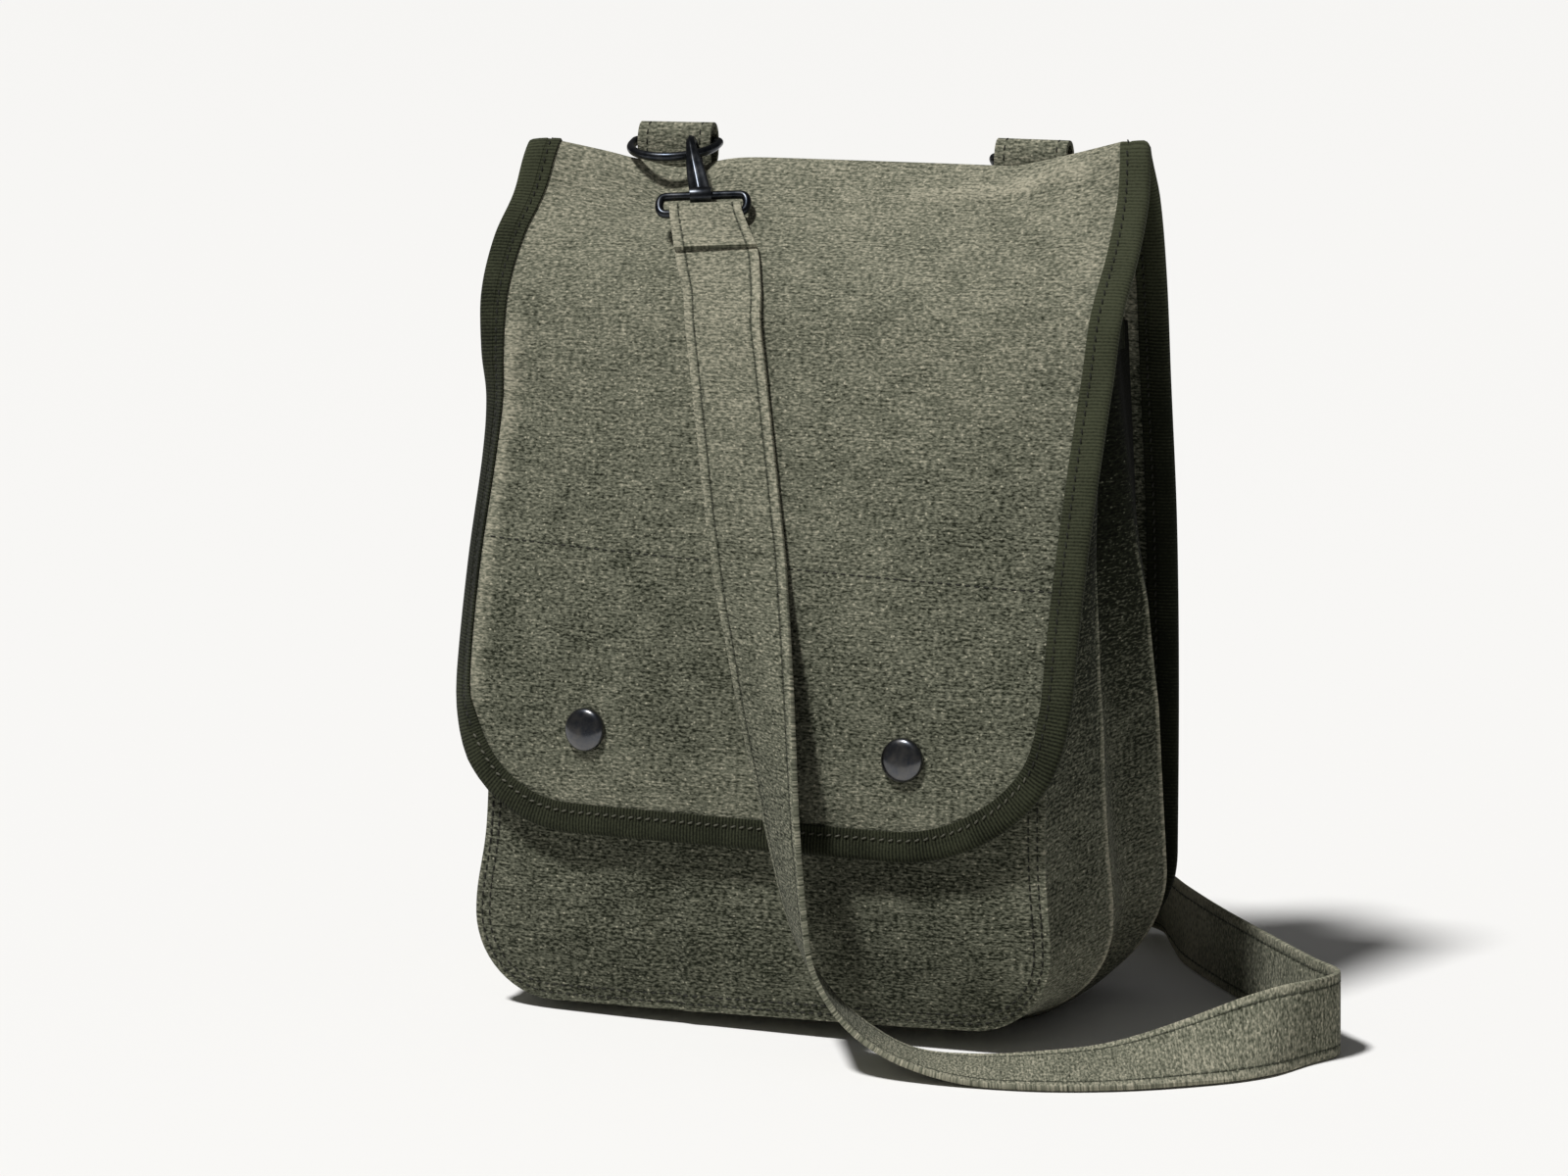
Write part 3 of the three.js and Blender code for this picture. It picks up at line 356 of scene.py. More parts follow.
floats = add_node(tree, "ShaderNodeMath", {"operation": "MULTIPLY", 1: FLOAT_SHARE}, {
    0: cells[0].outputs["Color"],
})
weave = add_node(tree, "ShaderNodeMath", {"operation": "MULTIPLY_ADD", 1: 1 - FLOAT_SHARE}, {
    0: layers[0], 2: floats.outputs["Value"],
}).outputs["Value"]
wear_and_shade_values = add_node(tree, "ShaderNodeAttribute", {"attribute_name": "wear"}).outputs["Fac"]
tone = add_node(tree, "ShaderNodeMapRange", {
    "From Min": 0.04, "From Max": 0.09, "To Min": CANVAS_TONE + LINT_STRENGTH, "To Max": CANVAS_TONE,
}, {"Value": cells[1].outputs["Distance"]}).outputs["Result"]
for layer, strength in zip([weave, *layers[1:], wear_and_shade_values], [*CANVAS_STRENGTHS, WEAR_AND_SHADE_STRENGTH]):
    tone = add_node(tree, "ShaderNodeMath", {"operation": "MULTIPLY_ADD", 1: strength}, {
        0: layer, 2: tone,
    }).outputs["Value"]
colours = add_node(tree, "ShaderNodeValToRGB", {
    "stops": [(0.05, CANVAS_SHADE_DEEP), (0.27, CANVAS_DARK), (0.5, CANVAS_MIDDLE), (0.78, CANVAS_LIGHT)],
}, {"Fac": tone})
bump = add_node(tree, "ShaderNodeBump", {"Strength": 0.7, "Distance": 0.5 * MM}, {"Height": weave})
shader = add_node(tree, "ShaderNodeBsdfPrincipled", {
    "Roughness": 0.95, "Specular IOR Level": 0.06, "Sheen Weight": 0.03, "Sheen Roughness": 0.6,
}, {"Base Color": colours.outputs["Color"], "Normal": bump.outputs["Normal"]})
add_node(tree, "ShaderNodeOutputMaterial", None, {"Surface": shader.outputs["BSDF"]})

# Sewing thread: olive cotton, a little shiny, with painted shade where it goes down into its needle holes.
THREAD_COLOUR = "1a1b12"
THREAD_HOLE_SHADE = "11120b"
STITCH_PITCH = 3.2
STITCH_LENGTH = 2.2
STITCH_WIDTH = 0.95
STITCH_RINGS = [(-1, 0), (-0.86, 0.6), (-0.5, 0.97), (0.5, 0.97), (0.86, 0.6), (1, 0)]
STITCH_SIDES = 6
# how much lower a stitch lies at its ends, as a share of its height, and from where on it has painted shade
STITCH_SUNK = 0.3
STITCH_SHADE_FROM = 0.55


def cotton_thread(name, colour):
    """Sewing thread with painted shade at its ends."""
    material, tree = new_material(name)
    ends = add_node(tree, "ShaderNodeAttribute", {"attribute_name": "ends"})
    mix = add_node(tree, "ShaderNodeMix", {
        "data_type": "RGBA", 6: linear(colour), 7: linear(THREAD_HOLE_SHADE),
    }, {"Factor": ends.outputs["Fac"]})
    shader = add_node(tree, "ShaderNodeBsdfPrincipled", {
        "Roughness": 0.7, "Specular IOR Level": 0.3,
    }, {"Base Color": mix.outputs[2]})
    add_node(tree, "ShaderNodeOutputMaterial", None, {"Surface": shader.outputs["BSDF"]})
    return material


def turns(sides):
    """Angles at even steps round a circle."""
    return np.arange(sides) * 2 * math.pi / sides


def stitches(name, runs, height, material, slant=0):
    """Stitches along runs, each run rows of a place on the cloth's middle and its normal."""
    share, swell = np.array(STITCH_RINGS).T[:, :, None]
    angle = turns(STITCH_SIDES)
    upwards = np.copysign(np.abs(np.sin(angle)) ** 0.5, np.sin(angle))
    stitch = np.stack(np.broadcast_arrays(
        share * STITCH_LENGTH / 2, swell * np.cos(angle) * STITCH_WIDTH / 2,
        height * (1 - STITCH_SUNK * (1 - swell)) * upwards,
    ), -1).reshape(-1, 3)
    places = []
    for run in runs:
        run = np.asarray(run)
        length = reach_of(run[:, :3])
        stops = np.arange(STITCH_PITCH / 2, length[-1], STITCH_PITCH)
        steps = np.stack([np.interp(stops, length, column) for column in run.T], axis=1)
        way = unit(np.gradient(steps[:, :3], axis=0))
        normal = unit(steps[:, 3:] - way * (steps[:, 3:] * way).sum(1, keepdims=True))
        side = np.cross(normal, way)
        axes = np.stack([way + slant * side, side - slant * way, normal], axis=1)
        places.append(steps[:, None, :3] + stitch @ axes)
    places = np.concatenate(places)
    faces = []
    for start in range(0, len(places) * len(stitch), len(stitch)):
        for ring in range(start, start + len(stitch) - STITCH_SIDES, STITCH_SIDES):
            for k in range(STITCH_SIDES):
                j = (k + 1) % STITCH_SIDES
                faces.append((ring + k, ring + j, ring + STITCH_SIDES + j, ring + STITCH_SIDES + k))
    mesh = bpy.data.meshes.new(name)
    mesh.from_pydata(places.reshape(-1, 3) * MM, [], faces)
    # painted shade at each stitch's ends, where it goes into the cloth
    dark = np.repeat(np.clip(np.abs(share) - STITCH_SHADE_FROM, 0, None) / (1 - STITCH_SHADE_FROM), STITCH_SIDES)
    mesh.attributes.new("ends", "FLOAT", "POINT").data.foreach_set("value", np.tile(dark, len(places)))
    mesh.materials.append(material)
    piece = bpy.data.objects.new(name, mesh)
    bpy.context.collection.objects.link(piece)
    bpy.context.view_layer.objects.active = piece
    piece.select_set(True)
    close_up(0.01)
    bpy.ops.object.shade_smooth()
    piece.select_set(False)
    return piece


thread = cotton_thread("dark_olive_cotton_thread", THREAD_COLOUR)


def front_at(z, x):
    """The front panel's middle surface, by height and x, with its creases."""
    row = row_at(FRONT_ROWS, z)
    half = np.where(x < 0, row[..., 2], row[..., 3])
    low = np.clip((FRONT_SKEW_TOP - z) / FRONT_SKEW_TOP, 0, 1)
    y = row[..., 1] + row[..., 4] * np.abs(x / half) ** EDGE_POWER
    return np.stack([x, y - creased(FRONT_CREASES, x, z), z + FRONT_SKEW * x * low], axis=-1)


def front_normal(z, x, step=0.5):
    """The way out of the bag, square to the front panel."""
    up = front_at(z + step, x) - front_at(z - step, x)
    return unit(np.cross(front_at(z, x + step) - front_at(z, x - step), up))


def front_half(z):
    """Half widths of the front panel with its rounded corners."""
    row = row_at(FRONT_ROWS, z)
    inset = corner_inset(FRONT_RADIUS, z - FRONT_BOTTOM)
    return row[..., 2] - inset, row[..., 3] - inset


quarter = np.linspace(0, math.pi / 2, FRONT_CORNER_STEPS + 1)
front_stops = np.concatenate([
    FRONT_BOTTOM + FRONT_RADIUS * (1 - np.cos(quarter)),
    np.linspace(FRONT_BOTTOM + FRONT_RADIUS, FRONT_ROWS[0, 0], FRONT_STEPS)[1:],
])
left, right = front_half(front_stops)
shares = np.linspace(0, 1, FRONT_COLUMNS + 1)
front_x = -left[:, None] + (left + right)[:, None] * shares
front_z = np.broadcast_to(front_stops[:, None], front_x.shape)
front_grid = front_at(front_z, front_x)
edge_gap = np.minimum(np.minimum(front_x + left[:, None], right[:, None] - front_x), front_z - FRONT_BOTTOM)
uneven = FRONT_RIPPLE * ripple(front_x, front_z, FRONT_RIPPLE_SIZE, FRONT_RIPPLE_SEED)
front_grid += normals_of(front_grid) * uneven[..., None]
front_panel = cloth(
    "front_panel_canvas", front_grid, np.stack([front_x, front_z], -1),
    wear=FRONT_EDGE_WEAR * np.exp(-((edge_gap / FRONT_EDGE_WIDTH) ** 2)) - FRONT_PAINTED_SHADE,
)
front_runs = []
side_steps, turn_steps, base_steps = FRONT_SEAM_STEPS
for inset in FRONT_STITCH_INSETS:
    turn = np.linspace(0, math.pi / 2, turn_steps)[1:]
    arc = FRONT_RADIUS - inset
    sides = []
    for way, column in ((-1, 2), (1, 3)):
        rise = np.linspace(FRONT_STITCH_TOP, FRONT_BOTTOM + FRONT_RADIUS, side_steps)
        x = row_at(FRONT_ROWS, rise)[:, column] - inset
        low_z = FRONT_BOTTOM + FRONT_RADIUS - arc * np.sin(turn)
        low_x = row_at(FRONT_ROWS, low_z)[:, column] - FRONT_RADIUS + arc * np.cos(turn)
        sides.append((way * np.concatenate([x, low_x]), np.concatenate([rise, low_z])))
    base_x = np.linspace(sides[0][0][-1], sides[1][0][-1], base_steps)[1:-1]
    x = np.concatenate([sides[0][0], base_x, sides[1][0][::-1]])
    z = np.concatenate([sides[0][1], np.full(len(base_x), FRONT_BOTTOM + inset), sides[1][1][::-1]])
    front_runs.append(np.hstack([front_at(z, x), front_normal(z, x)]))
front_stitches = stitches("front_panel_stitches", front_runs, CANVAS_SHOWN / 2 + FRONT_STITCH_RISE, thread)
fit(front_panel, "front_panel")
fit(front_stitches)

# Gusset: one canvas strip down the left side, under the base and up the right side, sewn to the
# front panel and to the back. Its sides fold in like an accordion between the seams.
FRONT_SEAM_INSET = 1.3
SEAM_INSET = 13
SEAM_GAP = 0.6
GUSSET_TOP = 236
GUSSET_LOW_Z = 45
GUSSET_COLUMNS = 72
GUSSET_SIDE_STEPS = 70
GUSSET_CORNER_STEPS = 16
GUSSET_BASE_STEPS = 26
# painted shade: how much darker it is drawn higher up, under the flap, by height, share; how much paler
# on the folds' edges, low down, from rubbing; and how much more painted shade behind the rear fold, by the
# place across and the height
GUSSET_PAINTED_SHADE = ([30, 110, 210], [-0.15, -0.8, -1.8])
GUSSET_EDGE_WEAR = ([145, 175], [1.1, 0])
GUSSET_REAR_SHADE_ACROSS = ([0.76, 0.82], [0, 1.4])
GUSSET_REAR_SHADE_HEIGHT = ([90, 150], [0, 1])
# across, how much further back low down, stand out low, mid and high, sag of the base
GUSSET_FOLDS = np.array([
    [0, 0, 0, 0, 0, 0],
    [0.1, 0.05, 3.6, 2.2, 0.5, 3],
    [0.26, 0.11, 10, 5.4, 1, 7.5],
    [0.5, 0.12, 6.5, -3, -15, 17],
    [0.74, 0.11, 14.5, 9.5, -4, 18],
    [0.9, 0.02, 5.4, 4, -2, 6.5],
    [1, 0, 0, 0, 0, 0],
])
GUSSET_SHIFT_RISE = 0.6
GUSSET_RIDGES = (0.26, 0.74)
GUSSET_CORNER_POWER = 4
GUSSET_PINCH = 0.8
GUSSET_PINCH_RISE = ([1.3 - 1 / 3, 1.3], [1, 0])
GUSSET_PINCH_WIDTH = 0.009
GUSSET_PINCH_STEPS = np.linspace(-0.014, 0.014, 7)
GUSSET_ACROSS = np.unique(np.concatenate(
    [np.linspace(0, 1, GUSSET_COLUMNS + 1)] + [ridge + GUSSET_PINCH_STEPS for ridge in GUSSET_RIDGES]
))
GUSSET_EDGES = sum(
    np.exp(-(((GUSSET_ACROSS - ridge) / GUSSET_PINCH_WIDTH) ** 2)) for ridge in GUSSET_RIDGES
)
# Back panel and flap are one sheet, whose table the gusset's back seam needs too: y, z, half width
# left and right, how far the left and the right edge lie from the middle, in y and in z, and how
# steeply the bound strip at the left edge turns back
HEM_RADIUS_LEFT = 46
HEM_RADIUS_RIGHT = 60
BACK_RADIUS = 36
BINDING_WIDTH = 8.6
EAR_POWER = 1.1
EAR_START = (0.78, 0.6)
TURN_ROUND = 0.5
DENT_X = -63
DENT_WIDTH = 14
DENT_DEPTH = 5
DENT_PAST_TOP = 7
DENT_LENGTH = 18
SHEET_ROWS = np.array([
    [52, 12.5, 110, 113, 0, 0, 2, 0, 0],
    [54, 45, 110, 112.9, 0, 0, 2, 0, 0],
    [55.5, 110, 110.4, 112.7, 0, 0, 3, 0, 0],
    [55, 165, 111, 112.4, 0, 0, 3, 0, 0],
    [52.5, 215, 111.6, 112.1, -1, 0, 1, 0, 0],
    [49, 250, 113, 112.4, -4, 0.8, 0, 0.8, 0],
    [47.5, 273, 114, 111.8, -11, 3.6, -3, 5.4, 0],
    [46, 284, 114.4, 111.2, -16, 5.4, -8, 9.6, 0],
    [43, 287.2, 113.2, 111.6, -17, 5, -7, 10, 0],
    [38, 283, 113, 112.4, -17, 5, -4, 9.6, 0],
    [28, 272, 114.3, 113.2, -13, 3.2, 2, 6.8, 0],
    [15, 260, 117, 113.1, -10, 1.5, 6, 2.4, 0],
    [-1, 243, 117.7, 112.4, -4.5, 0, 8, 0, 0.12],
    [-9, 224, 116.5, 112.2, -1.5, 0, 8.5, 0, 0.34],
    [-15.5, 208, 115.3, 112.2, 3.5, 0, 7.5, 0, 0.58],
    [-23, 188, 115.6, 112.2, 5.5, 0, 6, 0, 0.84],
    [-35.5, 153, 116.4, 112.1, 5.5, 0, 5, 0, 0.98],
    [-46.5, 117, 115.5, 113.4, 5.5, 0, 3, 0, 0.82],
    [-51, 93, 113.5, 116.4, 5, 0, 2, 0, 0.45],
    [-53.5, 67.5, 112.2, 114.6, 3, 0, 1, 0, 0],
])
SHEET_ALONG = reach_of(SHEET_ROWS[:, :2])
SHEET_LENGTH = SHEET_ALONG[-1]
SHEET_TOP = SHEET_ALONG[np.argmax(SHEET_ROWS[:, 1])]
SHEET_TABLE = np.hstack([SHEET_ALONG[:, None], SHEET_ROWS])
# Creases of the flap and back: from x, along to x, along, their width, and how far they stand out
FLAP_CREASES = [
    (30, 290.5, 69, 285.5, 2.6, 0.7), (69, 285.5, 87, 283, 2.6, 0.6), (14, 308.5, 30, 312.5, 7, -0.8),
    (-105, 352.5, -106, 480.5, 3.4, 1.2), (-99, 370.5, -100, 470.5, 4, -0.5),
    (40, 335.5, 78, 362.5, 13, 0.9), (28, 362.5, 70, 392.5, 12, -0.8),
    (-92, 310.5, -60, 342.5, 13, 0.8), (-86, 340.5, -58, 366.5, 11, -0.7),
    (66, 415.5, 74, 460.5, 9, 0.8), (80, 430.5, 84, 476.5, 8, -0.6), (-78, 430.5, -74, 476.5, 8, 0.7),
    (-44, 442.5, -46, 490.5, 7, 0.6), (-30, 460.5, -32, 502.5, 6, -0.6), (36, 460.5, 38, 502.5, 6, 0.6),
    (-70, 502.5, 60, 506.5, 5, 0.4),
]


def sheet_at(along, x):
    """The sheet's middle surface, by the distance along it and by x."""
    row = row_at(SHEET_TABLE, along)
    half = np.where(x < 0, row[..., 3], row[..., 4])
    side_y = np.where(x < 0, row[..., 5], row[..., 7])
    side_z = np.where(x < 0, row[..., 6], row[..., 8])
    start = np.where(x < 0, *EAR_START)
    ear = np.clip((np.abs(x) / (half - BINDING_WIDTH) - start) / (1 - start), 0, 1) ** EAR_POWER
    strip = BINDING_WIDTH - row[..., 3] - x
    turned = (strip + np.sqrt(strip**2 + 4 * TURN_ROUND**2)) / 2 * row[..., 9]
    dent = DENT_DEPTH * np.exp(
        -(((x - DENT_X) / DENT_WIDTH) ** 2) - ((along - SHEET_TOP - DENT_PAST_TOP) / DENT_LENGTH) ** 2
    )
    y = row[..., 1] + side_y * np.abs(x / half) ** EDGE_POWER + turned
    return np.stack([x, y, row[..., 2] + side_z * ear - dent], axis=-1)


def sheet_normal(along, x, step=0.5):
    """The way out of the bag, square to the sheet."""
    place = np.clip(along, step, SHEET_LENGTH - step)
    run = sheet_at(place + step, x) - sheet_at(place - step, x)
    return unit(np.cross(run, sheet_at(place, x + step) - sheet_at(place, x - step)))


def along_at(z, end, x=0.0):
    """Place along the sheet, between its top and one of its ends, where it is at a height."""
    low, high = end, SHEET_TOP
    for _ in range(40):
        middle = (low + high) / 2
        if sheet_at(middle, np.float64(x))[2] < z:
            low = middle
        else:
            high = middle
    return low


def gusset_row(side, down, angle, base):
    """One row of the gusset from its front seam to its back seam."""
    away = CANVAS / 2 + SEAM_GAP
    front_arc = FRONT_RADIUS - FRONT_SEAM_INSET
    z = GUSSET_TOP + (FRONT_BOTTOM + FRONT_RADIUS - GUSSET_TOP) * down - front_arc * math.sin(angle)
    half = row_at(FRONT_ROWS, z)[2 if side < 0 else 3] - FRONT_RADIUS + front_arc * math.cos(angle)
    x = np.float64(side * half * (1 - base))
    front_seam = front_at(z, x) - front_normal(z, x) * away
    back_arc = BACK_RADIUS - SEAM_INSET
    top_along = along_at(GUSSET_TOP, 0)
    along = top_along + (BACK_RADIUS - top_along) * down - back_arc * math.sin(angle)
    half = row_at(SHEET_TABLE, along)[3 if side < 0 else 4] - BACK_RADIUS + back_arc * math.cos(angle)
    x = np.float64(side * half * (1 - base))
    back_seam = sheet_at(along, x) - sheet_normal(along, x) * away
    folds = row_at(GUSSET_FOLDS, GUSSET_ACROSS)
    height = front_seam[2] + (back_seam[2] - front_seam[2]) * GUSSET_ACROSS
    rise = np.clip(2 * (height - GUSSET_LOW_Z) / (GUSSET_TOP - GUSSET_LOW_Z), 0, 2)
    back = folds[:, 1] * np.clip(2 - rise / GUSSET_SHIFT_RISE, 0, 1) * math.cos(angle)
    row = front_seam + (back_seam - front_seam) * (GUSSET_ACROSS + back)[:, None]
    stand = np.where(
        rise < 1,
        folds[:, 2] + (folds[:, 3] - folds[:, 2]) * rise,
        folds[:, 3] + (folds[:, 4] - folds[:, 3]) * (rise - 1),
    )
    stand += GUSSET_PINCH * GUSSET_EDGES * np.interp(rise, *GUSSET_PINCH_RISE)
    stand += (folds[:, 5] - stand) * math.sin(angle) ** GUSSET_CORNER_POWER
    row += np.outer(stand, [side * math.cos(angle), 0, -math.sin(angle)])
    row[:, 2] = np.maximum(row[:, 2], CANVAS / 2)
    return row


def laid_flat(points):
    """Flat places of a grid's points: distance across each row, and down the rows."""
    across = np.cumsum(np.linalg.norm(np.diff(points, axis=1, prepend=points[:, :1]), axis=2), axis=1)
    down = np.cumsum(np.linalg.norm(np.diff(points, axis=0, prepend=points[:1]), axis=2).mean(1))
    return np.stack(np.broadcast_arrays(across, down[:, None]), -1)


def gusset_half(side):
    """Rows of the gusset from one open end down to the middle of the base."""
    quarter = math.pi / 2
    steps = [(i / GUSSET_SIDE_STEPS, 0, 0) for i in range(GUSSET_SIDE_STEPS)]
    steps += [(1, quarter * i / GUSSET_CORNER_STEPS, 0) for i in range(GUSSET_CORNER_STEPS + 1)]
    steps += [(1, quarter, i / GUSSET_BASE_STEPS) for i in range(1, GUSSET_BASE_STEPS)]
    return [gusset_row(side, *step) for step in steps]


gusset_left = gusset_half(-1)
gusset_right = gusset_half(1)
gusset_grid = np.array(gusset_left + [gusset_row(1, 1, math.pi / 2, 1)] + gusset_right[::-1])
gusset_z = gusset_grid[..., 2]
# painted shade by height and behind the rear fold, with paler rubbing on the folds' edges
gusset_wear_and_shade = np.interp(gusset_z, *GUSSET_PAINTED_SHADE) + GUSSET_EDGES * np.interp(gusset_z, *GUSSET_EDGE_WEAR)
gusset_wear_and_shade -= np.interp(GUSSET_ACROSS, *GUSSET_REAR_SHADE_ACROSS) * np.interp(gusset_z, *GUSSET_REAR_SHADE_HEIGHT)
gusset = cloth("gusset_canvas", gusset_grid, laid_flat(gusset_grid), wear=gusset_wear_and_shade)
fit(gusset, "gusset")

# Gusset tape: a short dark cotton tape over each open top end of the gusset, folded in half along its
# length round the raw canvas, and short of the seams at either side.
TAPE_DEPTH = 10
# painted shade: how much darker the gusset tape is drawn, in the shade at the top of the gusset
TAPE_PAINTED_SHADE = 0.8
# rows of the gusset that it is laid on, and the columns beside the seams that it leaves free
TAPE_ROWS = 9
TAPE_FREE = 5
# Section of a folded tape: how far in from the cloth's edge, and out from its middle surface
TAPE_SECTION = np.array([
    [11, 0.95], [11.15, 1.35], [10.9, 1.75], [9, 1.95], [8.3, 1.72], [7.7, 1.78], [6.9, 2.0],
    [4.5, 2.15], [2, 2.25], [0, 2.15], [-1.1, 1.7], [-1.65, 0.9], [-1.8, 0],
])
TAPE_INSIDE = np.array([[10.8, 0.9], [0.5, 0.95], [-0.7, 0.5]])
# further in than this, the section moves with the tape's depth
TAPE_FOLD = 6


def folded_section(depth):
    """The whole closed section of a folded tape of a given depth, outside and then inside."""
    section = np.concatenate([
        TAPE_SECTION, TAPE_SECTION[-2::-1] * [1, -1], TAPE_INSIDE * [1, -1], TAPE_INSIDE[::-1],
    ])
    section[:, 0] += np.where(section[:, 0] > TAPE_FOLD, depth - TAPE_SECTION[0, 0], 0)
    return section


def skin(name, rings, material, flat=None, closed=False, wear=0.0):
    """A piece through rings of points, each a closed section; open ends are filled."""
    wear = np.broadcast_to(wear, rings.shape[:2])
    rings, wear = [np.hstack([part, part[:, :1]]) for part in (rings, wear)]
    if closed:
        rings, wear = [np.concatenate([part, part[:1]]) for part in (rings, wear)]
    piece = grid_piece(name, rings, laid_flat(rings) if flat is None else flat, wear, material)
    close_up(0.002, not closed)
    bpy.ops.object.shade_smooth_by_angle(angle=math.radians(45))
    piece.select_set(False)
    return piece


# Cotton twill tape: dark olive, ribbed across its length, with lint and cloudy patches, and lighter or darker
# by each piece's painted light and shade. The ribs are drawn a little coarser than the real 1 mm, to show.
TAPE_RIB = 1.2
TAPE_LINT = 0.9
TAPE_CLOUD = 14
TAPE_DARK = "14160d"
TAPE_LIGHT = "424534"

tape_cloth, tree = new_material("ribbed_cotton_tape")
flat = add_node(tree, "ShaderNodeTexCoord").outputs["UV"]
ribs = add_node(tree, "ShaderNodeTexWave", {
    "wave_type": "BANDS", "bands_direction": "Y", "Scale": math.pi / 10 / (TAPE_RIB * MM),
    "Distortion": 1.2, "Detail": 1, "Detail Scale": 0.6,
}, {"Vector": flat})
lint = add_node(tree, "ShaderNodeTexNoise", {
    "noise_dimensions": "2D", "Scale": 1 / (TAPE_LINT * MM), "Detail": 3, "Roughness": 0.65,
}, {"Vector": flat})
cloudy = add_node(tree, "ShaderNodeTexNoise", {
    "noise_dimensions": "2D", "Scale": 1 / (TAPE_CLOUD * MM), "Detail": 2,
}, {"Vector": flat})
mixed = add_node(tree, "ShaderNodeMix", {"data_type": "FLOAT", "Factor": 0.64}, {
    2: ribs.outputs["Fac"], 3: lint.outputs["Fac"],
})
mixed = add_node(tree, "ShaderNodeMix", {"data_type": "FLOAT", "Factor": 0.25}, {
    2: mixed.outputs[0], 3: cloudy.outputs["Fac"],
})
wear_and_shade_values = add_node(tree, "ShaderNodeAttribute", {"attribute_name": "wear"})
shade = add_node(tree, "ShaderNodeMath", {"operation": "MULTIPLY_ADD", 1: 0.3}, {
    0: wear_and_shade_values.outputs["Fac"], 2: mixed.outputs[0],
})
colours = add_node(tree, "ShaderNodeValToRGB", {"stops": [(0.25, TAPE_DARK), (0.75, TAPE_LIGHT)]}, {
    "Fac": shade.outputs["Value"],
})
bump = add_node(tree, "ShaderNodeBump", {"Strength": 0.8, "Distance": 0.4 * MM}, {
    "Height": mixed.outputs[0],
})
shader = add_node(tree, "ShaderNodeBsdfPrincipled", {
    "Roughness": 0.9, "Specular IOR Level": 0.08, "Sheen Weight": 0.03, "Sheen Roughness": 0.5,
}, {"Base Color": colours.outputs["Color"], "Normal": bump.outputs["Normal"]})
add_node(tree, "ShaderNodeOutputMaterial", None, {"Surface": shader.outputs["BSDF"]})

for name, rows in (("left", gusset_left), ("right", gusset_right)):
    strip = np.array(rows[:TAPE_ROWS])
    normal = normals_of(strip) * (-1 if name == "left" else 1)
    depth = laid_flat(strip)[:, 0, 1]
    rings = []
    for inwards, outwards in folded_section(TAPE_DEPTH):
        place = np.stack([
            [np.interp(inwards, depth, strip[:, j, k]) for k in range(3)] for j in range(strip.shape[1])
        ])
        if inwards < 0:
            place -= unit(strip[0] - strip[1]) * inwards
        rings.append(place + normal[0] * outwards)
    rings = np.stack(rings, axis=1)[TAPE_FREE:-TAPE_FREE]
    piece = skin(f"gusset_tape_{name}_folded", rings, tape_cloth, wear=-TAPE_PAINTED_SHADE)
    fit(piece, f"gusset_tape_{name}")

# Back panel and flap: one long sheet of canvas, up the back, folded softly over the top and down the
# front to a hem with round corners. One row of stitches crosses the flap, and two press studs pierce it.
SHEET_COLUMNS = 80
SHEET_STEPS = 170
SHEET_CORNER_STEPS = 15
# columns beside each edge: how far in they are, close where the bound strip turns
SHEET_STRIP = np.array([0, 2.4, 4.8, 6.6, 7.6, 8.2, 8.8, 9.4, 10.4, 12])
# x, height
SNAPS = [(-60.3, 101.5), (57.4, 100.1)]
SNAP_HOLE = 3.4
# painted light and shade: how much lighter the sheet is drawn over the top and darker low on the flap, by
# distance along the sheet, share
FLAP_PAINTED_LIGHT = ([0, 220, 280, 320, 410, 480, 515], [0, 0.1, 0.24, 0.15, -0.3, -0.45, -0.1])
# painted shade: how much darker the back is drawn beside its side seams, by distance from the edge, and along
# the sheet
PAINTED_SHADE_BESIDE = ([12, 18], [0.8, 0])
PAINTED_SHADE_ALONG = ([205, 225], [1, 0])
FLAP_WORN_RIDGES = FLAP_CREASES[:2] + FLAP_CREASES[3:4]
FLAP_RIDGE_WEAR = 0.6
FLAP_STITCH_ENDS = np.array([[-106, 162], [106, 156]])
FLAP_STITCH_STEPS = 120
FLAP_STITCH_RISE = 0.25


def sheet_edge(along, side):
    """Half width of the sheet with its rounded corners."""
    hem = HEM_RADIUS_LEFT if side < 0 else HEM_RADIUS_RIGHT
    inset = corner_inset(BACK_RADIUS, along) + corner_inset(hem, SHEET_LENGTH - along)
    return row_at(SHEET_TABLE, along)[..., 3 if side < 0 else 4] - inset


def sheet_face(along, x, out=0.0):
    """The sheet with its creases, a distance out from its middle surface."""
    place = np.clip(along, 0, SHEET_LENGTH)
    lift = creased(FLAP_CREASES, x, place)
    return sheet_at(along, x) + sheet_normal(along, x) * (lift + out)[..., None]


quarter = np.linspace(0, math.pi / 2, SHEET_CORNER_STEPS + 1)
sheet_stops = np.concatenate([
    BACK_RADIUS * (1 - np.cos(quarter)),
    np.linspace(BACK_RADIUS, SHEET_LENGTH - HEM_RADIUS_RIGHT, SHEET_STEPS)[1:-1],
    SHEET_LENGTH - HEM_RADIUS_RIGHT * (1 - np.cos(quarter[::-1])),
])
left, right = sheet_edge(sheet_stops, -1), sheet_edge(sheet_stops, 1)
between = np.linspace(0, 1, SHEET_COLUMNS + 1)[1:-1]
sheet_x = np.hstack([
    SHEET_STRIP - left[:, None],
    SHEET_STRIP[-1] - left[:, None] + (left + right - 2 * SHEET_STRIP[-1])[:, None] * between,
    right[:, None] - SHEET_STRIP[::-1],
])
sheet_v = np.broadcast_to(sheet_stops[:, None], sheet_x.shape)
sheet_grid = sheet_face(sheet_v, sheet_x)
snap_seats = []
